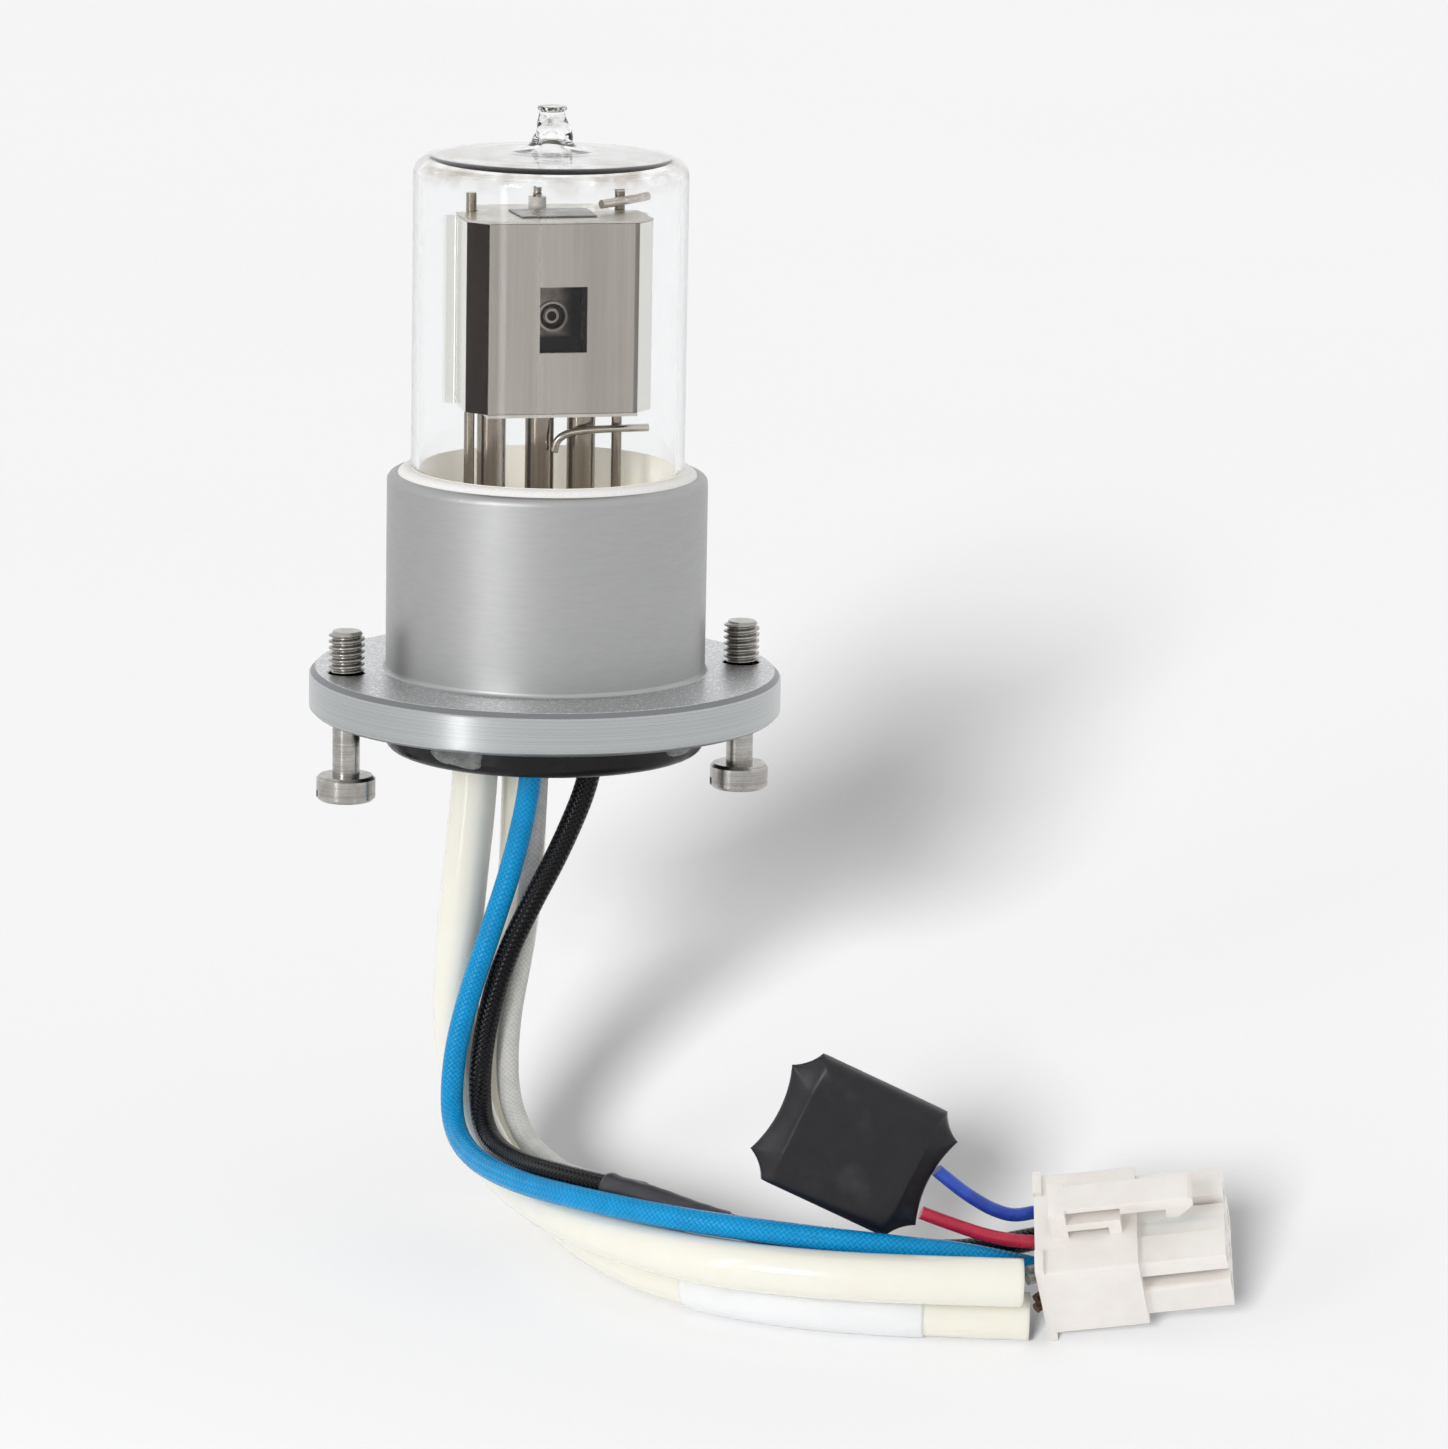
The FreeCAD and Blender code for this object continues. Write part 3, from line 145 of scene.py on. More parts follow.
def lathe(profile, columns, ripple):
    """Points r cos a, r sin a, z for each (r, z) of a profile; ripple(a, r, z) is a factor on r."""
    profile = np.asarray(profile, float)
    angle = np.linspace(0, 2 * math.pi, columns, endpoint=False)
    radius = np.repeat(profile[:, :1], columns, axis=1)
    height = np.repeat(profile[:, 1:], columns, axis=1)
    radius = radius * ripple(angle[None, :], radius, height)
    return np.stack([radius * np.cos(angle), radius * np.sin(angle), height], axis=-1)


def close_up(piece, merge=0.0005, matrix=None):
    """Merge doubled points at poles and seams, face all outward, place it and shade it smooth."""
    shape = bmesh.new()
    shape.from_mesh(piece.data)
    bmesh.ops.remove_doubles(shape, verts=shape.verts, dist=merge * MM)
    bmesh.ops.recalc_face_normals(shape, faces=shape.faces)
    if matrix is not None:
        bmesh.ops.transform(shape, matrix=matrix, verts=shape.verts)
    shape.to_mesh(piece.data)
    shape.free()
    piece.data.shade_smooth()
    return piece


def face_centres(piece):
    """Middle of each face in millimetres, one row a face."""
    centres = np.empty(len(piece.data.polygons) * 3)
    piece.data.polygons.foreach_get("center", centres)
    return centres.reshape(-1, 3) / MM


def hump(value, middle, width):
    """Bell curve: 1 at its middle, near 0 two widths away."""
    return np.exp(-((value - middle) / width) ** 2)


def bend(centre, radius, start, end, steps):
    """Points of an arc in the profile plane, from one angle to another in degrees."""
    angle = np.radians(np.linspace(start, end, steps))
    return np.stack([centre[0] + radius * np.cos(angle), centre[1] + radius * np.sin(angle)], 1)


# %% [markdown]
# The leads are soft, so each is one smooth line and not straight runs with small bends. The
# route's points steer a NURBS spline, Blender turns the spline into a line, and a circle is
# carried along it. The circle's axes come from one fixed direction that no lead runs along,
# so the tube doesn't twist. U runs once round the lead and V counts millimetres along it.

# %% Lead routes, in millimetres
RECESS = -6.45
CREAM_A = [
    (-7.5, 0.6, RECESS), (-7.5, 0.6, -12), (-9.0, 0.8, -27), (-9.7, 0.7, -38),
    (-9.1, 0.0, -45), (-8.1, -3.4, -50.8), (-6.7, -10.0, -53.9), (-5.2, -19.0, -54.5),
    (-3.9, -29.0, -53.9), (0.4, -39.5, -54.0), (7.2, -49.9, -53.8), (17.0, -56.5, -53.7),
    (27.5, -60.4, -53.7), (38.4, -62.6, -53.9),
]
CREAM_B = [
    (-1.8, 1.8, RECESS), (-1.8, 1.8, -16), (-2.2, 1.9, -27), (-3.9, 2.8, -38), (-5.2, 3.4, -46),
    (-3.8, 1.0, -52.6), (-2.0, -5.5, -57.2), (-0.6, -14.5, -58.3), (0.6, -26, -58.4),
    (5.0, -39.9, -58.2), (14, -50, -58.2), (26.5, -56.4, -58.2), (40.0, -60.1, -58.35),
]
BLUE = [
    (-2.5, -5.9, RECESS), (-2.5, -5.9, -11), (-4.2, -4.9, -20.5), (-6.8, -4.4, -29),
    (-9.4, -4.3, -37), (-10.9, -4.8, -43.5), (-11.6, -8.0, -49.5), (-11.0, -16.5, -51.1),
    (-8.0, -27, -51.0), (-2.8, -37.3, -50.2), (5.9, -47.7, -49.9), (16.3, -54.1, -50.2),
    (26.2, -56.6, -51.2), (34.6, -56.7, -52.4), (41.94, -55.3, -54.77),
]
BLACK = [
    (4.4, -5.6, RECESS), (4.4, -5.6, -10.5), (1.0, -5.9, -18.8), (-2.4, -5.4, -25.5),
    (-5.0, -3.9, -32), (-6.7, -3.3, -38.5), (-8.0, -5.0, -45.0), (-8.4, -9.6, -49.9),
    (-7.6, -18.5, -50.6), (-4.2, -29.8, -49.5), (2.8, -39.9, -49.2), (9.9, -46.3, -50.9),
    (17.6, -50.2, -52.0), (25.9, -51.9, -52.8), (32.6, -53.3, -53.0), (36.5, -53.2, -53.0),
    (42.78, -51.85, -52.52),
]
WHITE = [
    (-1.3, -2.9, RECESS), (-1.3, -2.9, -12), (-1.9, -2.6, -23), (-2.5, -1.9, -31.5),
    (-4.0, -1.6, -39.5), (-4.8, -4.9, -47.0), (-3.9, -10.6, -50.9), (-2.6, -20.5, -51.4),
    (-1.9, -28.4, -50.5), (3.75, -37.0, -50.2),
]
CREAM_RADIUS = 2.55
CREAM_BORE = 2.05
SLEEVE_DEPTH = 3.0
BRAID_RADIUS = 1.25
LEAD_COLUMNS = 28
SLEEVE_COLUMNS = 32
STEADY = np.array([0.6, 0.6, 0.53])


def spline_line(name, route):
    """Points along the smooth spline that a route steers, in metres."""
    curve = bpy.data.curves.new(name + "_line", "CURVE")
    curve.dimensions = "3D"
    curve.resolution_u = 16
    spline = curve.splines.new("NURBS")
    spline.points.add(len(route) - 1)
    for point, place in zip(spline.points, route):
        point.co = (place[0] * MM, place[1] * MM, place[2] * MM, 1.0)
    spline.order_u = 3
    spline.use_endpoint_u = True
    holder = bpy.data.objects.new(name + "_line", curve)
    mesh = bpy.data.meshes.new_from_object(holder)
    line = np.empty(len(mesh.vertices) * 3)
    mesh.vertices.foreach_get("co", line)
    line = line.reshape(-1, 3)
    bpy.data.objects.remove(holder)
    bpy.data.curves.remove(curve)
    bpy.data.meshes.remove(mesh)
    return line


def lengths_along(line):
    """Length from the start to each point of a line."""
    steps = np.linalg.norm(np.diff(line, axis=0), axis=1)
    return np.concatenate([[0.0], np.cumsum(steps)])


def part_of_line(line, start, end, step=0.5 * MM):
    """Evenly spaced points of a line between two lengths along it."""
    along = lengths_along(line)
    wanted = np.linspace(start, end, max(int((end - start) / step), 2) + 1)
    return np.stack([np.interp(wanted, along, line[:, axis]) for axis in range(3)], axis=1)


def tube_points(line, radius, columns):
    """A circle carried along a line: the point plus r (cos a side + sin a over)."""
    heading = np.gradient(line, axis=0)
    heading /= np.linalg.norm(heading, axis=1, keepdims=True)
    side = np.cross(heading, STEADY)
    side /= np.linalg.norm(side, axis=1, keepdims=True)
    over = np.cross(heading, side)
    angle = np.linspace(0, 2 * math.pi, columns, endpoint=False)
    radius = np.broadcast_to(np.asarray(radius, float).reshape(-1, 1, 1), (len(line), 1, 1))
    ring = (np.cos(angle)[None, :, None] * side[:, None, :]
            + np.sin(angle)[None, :, None] * over[:, None, :])
    return line[:, None, :] + radius * ring


def hollow_end(points, line, inner, deep):
    """Rows that turn in at the far end and run back along the line, at an inner radius."""
    back = max(int(deep / np.linalg.norm(line[-1] - line[-2])), 2)
    outer = points[-1] - line[-1]
    mouth = line[-1] + outer * (inner / np.linalg.norm(outer[0]))
    steps = (line[-1] - line[-back - 1]) * np.linspace(0, 1, 4)[:, None]
    return np.concatenate([points, mouth[None] - steps[:, None, :]])


def wrap_uv(piece, line, columns):
    """UV map of a tube: U is the turn round it, V is the length along it in millimetres."""
    along = lengths_along(line) / MM
    loops = np.empty(len(piece.data.loops), dtype=int)
    piece.data.loops.foreach_get("vertex_index", loops)
    first = np.repeat(np.array([p.loop_start for p in piece.data.polygons]),
                      [p.loop_total for p in piece.data.polygons])
    u = (loops % columns) / columns
    u = np.where((loops[first] % columns == columns - 1) & (loops % columns == 0), 1.0, u)
    uv = piece.data.uv_layers.new(name="along")
    uv.data.foreach_set("uv", np.stack([u, along[loops // columns]], axis=1).ravel())


def lead(name, node, line, radius, bore):
    """A tube along a line that stands for a CAD node, hollow at its far end if it has a bore."""
    rows = part_of_line(line, 0.0, lengths_along(line)[-1])
    points = tube_points(rows, radius * MM, LEAD_COLUMNS)
    along = rows
    if bore is not None:
        points = hollow_end(points, rows, bore * MM, SLEEVE_DEPTH * MM)
        along = np.concatenate([rows, np.repeat(rows[-1:], len(points) - len(rows), axis=0)])
    piece = add_piece(name, points, tube_faces(len(points), LEAD_COLUMNS))
    wrap_uv(piece, along, LEAD_COLUMNS)
    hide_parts(node)
    print("%s: %.1f mm" % (name, lengths_along(rows)[-1] / MM))
    return piece, rows


ROUTES = {"cream_sleeve_a": CREAM_A, "cream_sleeve_b": CREAM_B, "blue_lead": BLUE,
          "black_lead": BLACK, "white_lead": WHITE}
CREAMS = ("cream_sleeve_a", "cream_sleeve_b")
leads = {}
paths = {}
for name, route in ROUTES.items():
    thick, bore = (CREAM_RADIUS, CREAM_BORE) if name in CREAMS else (BRAID_RADIUS, None)
    leads[name], paths[name] = lead(name + "_soft", name, spline_line(name, route), thick, bore)

# %% [markdown]
# Two sleeves sit on the leads: a white marker sleeve near the end of the lower cream sleeve,
# and a dark shrunk sleeve where the white lead joins the black one. The shrunk sleeve is made
# of two short tubes that run into each other, as it closes over both leads, with a rolled lip
# at its mouth.

# %% Marker and splice sleeves
MARKER_START = 94.0 * MM
MARKER_END = 120.0 * MM
MARKER_RADIUS = 2.8
SPLICE_START = 75.5 * MM
SPLICE_END = 90.5 * MM
SPLICE_RADIUS = 1.5
SPLICE_LIP = 0.12
WHITE_TAIL = 2.8 * MM


def sleeve(name, node, line, start, end, radius, swell):
    """Tube round a stretch of a line; swell(fraction) is added to its radius in millimetres."""
    rows = part_of_line(line, start, end, 0.25 * MM)
    fraction = np.linspace(0, 1, len(rows))
    points = tube_points(rows, (radius + swell(fraction)) * MM, SLEEVE_COLUMNS)
    piece = add_piece(name, points, tube_faces(len(rows), SLEEVE_COLUMNS))
    wrap_uv(piece, rows, SLEEVE_COLUMNS)
    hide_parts(node)
    return piece


def soft_ends(fraction):
    """Both ends of a sleeve round in by a tenth of a millimetre."""
    edge = np.minimum(fraction, 1 - fraction) * 40
    return -0.12 * np.exp(-edge)


marker = sleeve("marker_sleeve_soft", "marker_sleeve", paths["cream_sleeve_b"], MARKER_START,
                MARKER_END, MARKER_RADIUS, soft_ends)


def splice_swell(fraction):
    """Rolled lip at the mouth, faint waves, and a taper towards the far end."""
    return SPLICE_LIP * hump(fraction, 0.02, 0.03) + 0.02 * np.sin(fraction * 40) - 0.1 * fraction


splice = sleeve("splice_sleeve_soft", "splice_sleeve", paths["black_lead"], SPLICE_START,
                SPLICE_END, SPLICE_RADIUS, splice_swell)
white_long = lengths_along(paths["white_lead"])[-1]
splice_tail = sleeve("splice_tail", "splice_sleeve", paths["white_lead"],
                     white_long - WHITE_TAIL, white_long, SPLICE_RADIUS, soft_ends)

# %% [markdown]
# The module lies turned on the bench, so it is worked out in its own straight frame first. Three
# turns, about Z, then Y, then X, bring it to its place, the same three that the construction
# uses. The plug keeps its CAD form, which is already true and in place, but a moulded housing has
# no razor edges: a merged copy gets a small bevel.

# %% Turned frames and the plug
POUCH_TURN = (-13.4, 24.7, 90.0)
POUCH_AT = (22.57, -52.82, -41.08)
SHARP_FROM = math.radians(30)


def turned_frame(at, turn):
    """Matrix of a place in millimetres and turns about Z, Y and X in degrees, for metres."""
    about_z, about_y, about_x = (math.radians(angle) for angle in turn)
    turning = (Matrix.Rotation(about_z, 4, "Z") @ Matrix.Rotation(about_y, 4, "Y")
               @ Matrix.Rotation(about_x, 4, "X"))
    return Matrix.Translation(Vector(at) * MM) @ turning


def merged_copy(name, node, body="root"):
    """Copy of a CAD node with its doubled points merged and its flat faces joined again."""
    mesh = nodes[node].data.copy()
    mesh.name = name
    mesh.materials.clear()
    shape = bmesh.new()
    shape.from_mesh(mesh)
    bmesh.ops.remove_doubles(shape, verts=shape.verts, dist=0.001 * MM)
    bmesh.ops.dissolve_limit(shape, angle_limit=math.radians(0.5), verts=shape.verts,
                             edges=shape.edges)
    shape.to_mesh(mesh)
    shape.free()
    piece = bpy.data.objects.new(name, mesh)
    bpy.context.scene.collection.objects.link(piece)
    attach(piece, body)
    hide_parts(node)
    return piece


def soften(piece, width, segments=2):
    """Bevel modifier on every sharp edge, with smooth shading over it."""
    bevel = piece.modifiers.new("moulded_edges", "BEVEL")
    bevel.width = width * MM
    bevel.segments = segments
    bevel.limit_method = "ANGLE"
    bevel.angle_limit = SHARP_FROM
    bevel.use_clamp_overlap = True
    bevel.harden_normals = True
    piece.data.shade_smooth()


connector = merged_copy("six_way_plug", "connector_housing")
soften(connector, 0.13)
print("plug faces:", len(connector.data.polygons))

# %% [markdown]
# The bulb is drawn out of a silica tube, so its section is one line: from the tip of the sealed
# stub over the nearly flat crown and the shoulder down to the foot, and back up inside. That
# line is turned round the axis. The stub was pinched off by hand in a flame, so it isn't quite
# round: a ripple that depends on the angle and the height leans it and gives it its lumps.

# %% Bulb
BULB_RADIUS = 15.0
BULB_INNER = 14.1
BULB_FOOT = 8.0
CEMENT_TOP = 22.45
SHOULDER_TOP = 56.6
SHOULDER_ROUND = 2.2
STUB_ZONE = 57.3
CROWN_INSET = 84
BULB_COLUMNS = 144


def rounded_line(points, steps=6):
    """Smooth line through given points: each span is a cubic with its neighbours' slope."""
    points = np.asarray(points, float)
    before = np.concatenate([[2 * points[0] - points[1]], points, [2 * points[-1] - points[-2]]])
    t = np.linspace(0, 1, steps, endpoint=False)[:, None, None]
    a, b, c, d = before[:-3], before[1:-2], before[2:-1], before[3:]
    spans = 0.5 * (2 * b + (c - a) * t + (2 * a - 5 * b + 4 * c - d) * t ** 2
                   + (3 * b - a - 3 * c + d) * t ** 3)
    line = spans.transpose(1, 0, 2).reshape(-1, 2)
    return np.concatenate([line, points[-1:]])


def bulb_section():
    """Outer line from the tip down, then the inner line up, as rows of radius and height."""
    stub = rounded_line([
        (0.0, 61.35), (0.8, 61.5), (1.2, 61.9), (1.52, 61.88), (1.6, 61.6), (1.42, 61.3),
        (1.45, 60.9), (1.6, 60.4), (1.75, 59.9), (1.88, 59.4), (1.98, 58.9), (2.1, 58.4),
        (2.35, 57.9), (2.85, 57.5), (3.7, 57.27), (4.9, 57.16)])
    middle = SHOULDER_TOP - SHOULDER_ROUND
    crown = rounded_line([(4.9, 57.16), (7.0, 57.08), (10.0, 56.9), (12.8, SHOULDER_TOP)])
    shoulder = bend((BULB_RADIUS - SHOULDER_ROUND, middle), SHOULDER_ROUND, CROWN_INSET, 0, 16)
    side = np.array([(BULB_RADIUS, z) for z in np.concatenate([
        np.linspace(middle - 1, CEMENT_TOP + 0.1, 10), np.linspace(CEMENT_TOP, BULB_FOOT, 6)])])
    inner_side = np.array([(BULB_INNER, z) for z in np.linspace(BULB_FOOT, middle - 1, 12)])
    inner_round = BULB_INNER - BULB_RADIUS + SHOULDER_ROUND
    inner_shoulder = bend((BULB_INNER - inner_round, middle), inner_round, 0, CROWN_INSET, 16)
    wall = BULB_RADIUS - BULB_INNER
    inner_crown = crown[::-1] - (0, wall)
    inner_stub = rounded_line([
        (4.9, 57.16 - wall), (3.0, 57.3 - wall), (1.9, 57.6 - wall), (1.3, 58.1 - wall),
        (1.15, 57.8), (1.0, 58.6), (0.5, 59.2), (0.0, 59.35)])
    return np.concatenate([stub[:-1], crown[:-1], shoulder, side, inner_side, inner_shoulder,
                           inner_crown[1:-1], inner_stub])


def stub_ripple(angle, radius, height):
    """One plus a lean to the right and two lumps, only above the crown and near the axis."""
    near = (1 / (1 + np.exp((radius - 3.4) * 4))) * (1 / (1 + np.exp((STUB_ZONE - height) * 6)))
    lump = 0.14 * hump(height, 59.3, 0.9) * np.cos(angle - 0.2)
    fold = 0.045 * hump(height, 60.1, 0.45) * np.cos(3 * angle - 1.2)
    dimple = -0.06 * hump(height, 58.6, 0.4) * np.cos(2 * angle - 2.2)
    return 1 + near * (lump + fold + dimple)


bulb_points = lathe(bulb_section(), BULB_COLUMNS, stub_ripple) * MM
bulb_faces = grid_faces(len(bulb_points), BULB_COLUMNS, around=True).tolist()
bulb = close_up(add_piece("silica_bulb", bulb_points, bulb_faces))
middles = face_centres(bulb)
in_cement = ((np.hypot(middles[:, 0], middles[:, 1]) > BULB_RADIUS - 0.1)
             & (middles[:, 2] < CEMENT_TOP))
bulb.data.polygons.foreach_set("material_index", in_cement.astype(np.int32))
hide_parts("bulb_envelope")
print("bulb faces:", len(bulb.data.polygons))

# %% [markdown]
# A captive screw has a thin neck and a slotted head, which the CAD node already has, and a real
# thread, which it doesn't. The thread is one surface of height and angle: the radius swings
# between root and crest as height over pitch minus turn grows, and both ends run out. It is
# joined to a copy of the node whose plain threaded part has been taken off.

# %% Screw threads
THREAD_LOW = -0.08
THREAD_HIGH = 4.67
THREAD_CREST = 2.0
THREAD_ROOT = 1.55
THREAD_PITCH = 0.7
THREAD_RUN_OUT = 0.45
THREAD_TIP = 0.5
SCREW_OFFSET = 22.2


def thread_surface(rows=150, columns=56):
    """Radius = root + (crest - root) * ramp(height / pitch - turn), as rows of rings."""
    height = np.linspace(THREAD_LOW, THREAD_HIGH, rows)[:, None]
    turn = np.linspace(0, 1, columns, endpoint=False)[None, :]
    phase = (height / THREAD_PITCH - turn) % 1.0
    flank = np.clip((1 - np.abs(2 * phase - 1)) * 1.5 - 0.2, 0, 1)
    ends = np.clip((height - THREAD_LOW) / THREAD_RUN_OUT, 0, 1)
    ends = ends * np.clip((THREAD_HIGH - height) / THREAD_RUN_OUT, 0.2, 1)
    radius = THREAD_ROOT + (THREAD_CREST - THREAD_ROOT) * flank * ends
    radius = np.minimum(radius, THREAD_CREST - THREAD_TIP + (THREAD_HIGH - height))
    angle = 2 * math.pi * turn
    return np.stack([radius * np.cos(angle), radius * np.sin(angle),
                     np.broadcast_to(height, radius.shape)], axis=-1)


def threaded_screw(side, x):
    """The CAD screw below its thread, closed, with the thread surface on top of it."""
    name = "threaded_screw_" + side
    piece = merged_copy(name, "captive_screw_" + side, "screw_" + side)
    shape = bmesh.new()
    shape.from_mesh(piece.data)
    cut_height = (THREAD_LOW + 0.01) * MM
    bmesh.ops.delete(shape, geom=[v for v in shape.verts if v.co.z > cut_height], context="VERTS")
    bmesh.ops.holes_fill(shape, edges=[e for e in shape.edges if e.is_boundary])
    thread = thread_surface()
    first = len(shape.verts)
    placed = (thread + np.array([x, 0, 0])).reshape(-1, 3) * MM
    for place in placed.tolist():
        shape.verts.new(place)
    shape.verts.ensure_lookup_table()
    for face in tube_faces(len(thread), thread.shape[1]):
        shape.faces.new([shape.verts[first + corner] for corner in face])
    shape.to_mesh(piece.data)
    shape.free()
    piece.data.shade_smooth()
    piece.data.set_sharp_from_angle(angle=math.radians(28))
    print("%s: %d faces" % (name, len(piece.data.polygons)))
    return piece


screws = [threaded_screw("left", -SCREW_OFFSET), threaded_screw("right", SCREW_OFFSET)]

# %% [markdown]
# The front of the electrode box is one nickel sheet, folded three times on each side: a narrow
# slanted facet beside the flat face, a side wall, and a wing that is spot-welded to the pan
# behind it. From above it is one line with small round folds. The surface is that line carried
# up the box; the cells of the window are left open, and Solidify gives the sheet its gauge. The
# lid is a flat sheet with the box's outline, and the bridge strip is a small one above it.

# %% Folded front and lid of the electrode box
BOX_LOW = 29.45
BOX_HIGH = 50.05
SHEET = 0.35
FACE_Y = -7.6
FACE_HALF = 8.15
WALL_X = 10.15
FACET_Y = -5.3
WING_LEFT = 11.15
WING_RIGHT = 11.1
WING_Y = 1.35
WINDOW = (-2.62, 2.54, 36.08, 43.22)
FOLD = 0.25
FACE_FLAT = 6.5
PAN_HALF = 7.3
PAN_BACK = 8.0
LID_BACK = 1.75
LID_LOW = 50.1
LID_THICK = 0.22
BRIDGE_LOW = 50.34
BRIDGE_THICK = 0.18
BRIDGE = [(-4.0, -4.2), (4.3, -4.0), (4.5, 2.6), (-4.3, 2.3)]


def folded_line(corners, radius, steps=5):
    """Line through corners in plan, each corner replaced by an arc of the fold radius."""
    corners = [np.asarray(corner, float) for corner in corners]
    line = [corners[0]]
    for before, here, after in zip(corners, corners[1:], corners[2:]):
        arriving = (here - before) / np.linalg.norm(here - before)
        leaving = (after - here) / np.linalg.norm(after - here)
        turn = math.acos(np.clip(arriving @ leaving, -1, 1))
        back = radius * math.tan(turn / 2)
        side = leaving - arriving
        centre = here + side / np.linalg.norm(side) * radius / math.cos(turn / 2)
        start = here - arriving * back - centre
        share = np.linspace(0, 1, steps)[:, None]
        chord = start * (1 - share) + (here + leaving * back - centre) * share
        line += list(centre + radius * chord / np.linalg.norm(chord, axis=1, keepdims=True))
    return np.array(line + [corners[-1]])


def folded_front():
    """Plan line times height; faces inside the window are left out."""
    half = [(WALL_X, WING_Y), (WALL_X, FACET_Y), (FACE_HALF, FACE_Y)]
    corners = [(-WING_LEFT, WING_Y)] + [(-x, y) for x, y in half] + half[::-1]
    corners.append((WING_RIGHT, WING_Y))
    line = folded_line(corners, FOLD)
    left, right, low, high = WINDOW
    face = np.array([(x, FACE_Y) for x in np.concatenate([
        np.linspace(-FACE_FLAT, left, 6), np.linspace(left, right, 7)[1:],
        np.linspace(right, FACE_FLAT, 6)[1:]])])
    middle = np.searchsorted(line[:, 0], 0)
    line = np.concatenate([line[:middle], face, line[middle:]])
    levels = np.unique(np.concatenate([np.linspace(BOX_LOW, low, 6), np.linspace(low, high, 8),
                                       np.linspace(high, BOX_HIGH, 6)]).round(4))
    points = np.stack(np.broadcast_arrays(line[:, 0], line[:, 1], levels[:, None]), axis=-1)
    faces = grid_faces(len(levels), len(line), around=False)
    centres = points.reshape(-1, 3)[faces].mean(axis=1)
    open_part = ((centres[:, 0] > left) & (centres[:, 0] < right) & (centres[:, 1] < FACE_Y + 0.01)
                 & (centres[:, 2] > low) & (centres[:, 2] < high))
    piece = add_piece("folded_front_shield", points * MM, faces[~open_part].tolist())
    sheet = piece.modifiers.new("gauge", "SOLIDIFY")
    sheet.thickness = SHEET * MM
    sheet.offset = -1.0
    sheet.use_even_offset = True
    soften(piece, 0.08, 2)
    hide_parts("front_shield")
    return piece


def flat_sheet(name, outline, low, thick):
    """Closed plate: the outline at two heights, with its rim between them."""
    outline = np.asarray(outline, float)
    rings = np.stack([np.column_stack([outline, np.full(len(outline), level)])
                      for level in (low, low + thick)])
    return add_piece(name, rings * MM, tube_faces(2, len(outline)), smooth=False)


def mirrored(half):
    """Outline from its right half, front to back, and the same points on the left."""
    return half + [(-x, y) for x, y in half[::-1]]


front_shield = folded_front()
lid = flat_sheet("box_lid", mirrored([
    (FACE_HALF, FACE_Y), (WALL_X, FACET_Y), (WALL_X, LID_BACK), (PAN_HALF, LID_BACK),
    (PAN_HALF, PAN_BACK)]), LID_LOW, LID_THICK)
bridge = flat_sheet("lid_bridge_strip", BRIDGE, BRIDGE_LOW, BRIDGE_THICK)
soften(bridge, 0.05, 1)
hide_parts("top_cover")
print("sheet faces:", len(front_shield.data.polygons))

# %% [markdown]
# A stiff wire leaves the right support pin under the box and bends down behind the middle tube.
# It is one smooth line with a round section, made the same way as the leads.

# %% Bent strap
STRAP = [(11.7, 1.5, 26.3), (8.0, 1.5, 26.28), (4.6, 1.5, 26.15), (2.6, 1.6, 25.9),
         (1.5, 1.8, 25.2), (1.2, 1.95, 24.4), (1.1, 2.0, 23.7)]
STRAP_RADIUS = 0.425
STRAP_COLUMNS = 20
strap_line = spline_line("strap", STRAP)
strap_rows = part_of_line(strap_line, 0, lengths_along(strap_line)[-1], 0.2 * MM)
strap = add_piece("bent_strap_wire", tube_points(strap_rows, STRAP_RADIUS * MM, STRAP_COLUMNS),
                  tube_faces(len(strap_rows), STRAP_COLUMNS))
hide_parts("bent_strap")
print("strap rows:", len(strap_rows))

# %% [markdown]
# The module is a small board shrunk into black film. The film is tight over the board, so the
# middle is a flat plateau with soft edges, and where it reaches past the board its two layers
# lie together and its ends pull in between the corners. Each ring of the surface is the outline
# times k, from 0 in the middle to 1 at the seam. The height falls off near the seam and towards
# both ends, with a few fine pleats there.

# %% Module pouch
POUCH_STRAIGHT = 7.2
POUCH_SIDE = 7.5
POUCH_HALF = 9.6
POUCH_TIP = 5.0
POUCH_SCALLOP = 5.0
POUCH_HOLLOW = 14.0
POUCH_THICK = 4.2
BOARD_HALF = 6.6


def hollow_arc(start, end, radius, steps):
    """Points of the arc of a radius that bows in towards the middle between two corners."""
    start = np.asarray(start, float)
    end = np.asarray(end, float)
    chord = end - start
    half = np.linalg.norm(chord) / 2
    outward = np.array([chord[1], -chord[0]]) / (2 * half)
    centre = (start + end) / 2 + outward * math.sqrt(radius ** 2 - half ** 2)
    first = math.atan2(*(start - centre)[::-1])
    sweep = -2 * math.asin(half / radius)
    angle = first + sweep * np.linspace(0, 1, steps, endpoint=False)
    return centre + radius * np.stack([np.cos(angle), np.sin(angle)], axis=1)


def pouch_outline():
    """Outline against the clock: straight sides, scalloped corners and hollow ends."""
    long_side = np.linspace((-POUCH_STRAIGHT, -POUCH_SIDE), (POUCH_STRAIGHT, -POUCH_SIDE), 36,
                            endpoint=False)
    half = [long_side,
            hollow_arc((POUCH_STRAIGHT, -POUCH_SIDE), (POUCH_HALF, -POUCH_TIP), POUCH_SCALLOP, 14),
            hollow_arc((POUCH_HALF, -POUCH_TIP), (POUCH_HALF, POUCH_TIP), POUCH_HOLLOW, 28),
            hollow_arc((POUCH_HALF, POUCH_TIP), (POUCH_STRAIGHT, POUCH_SIDE), POUCH_SCALLOP, 14)]
    half = np.concatenate(half)
    return np.concatenate([half, -half])


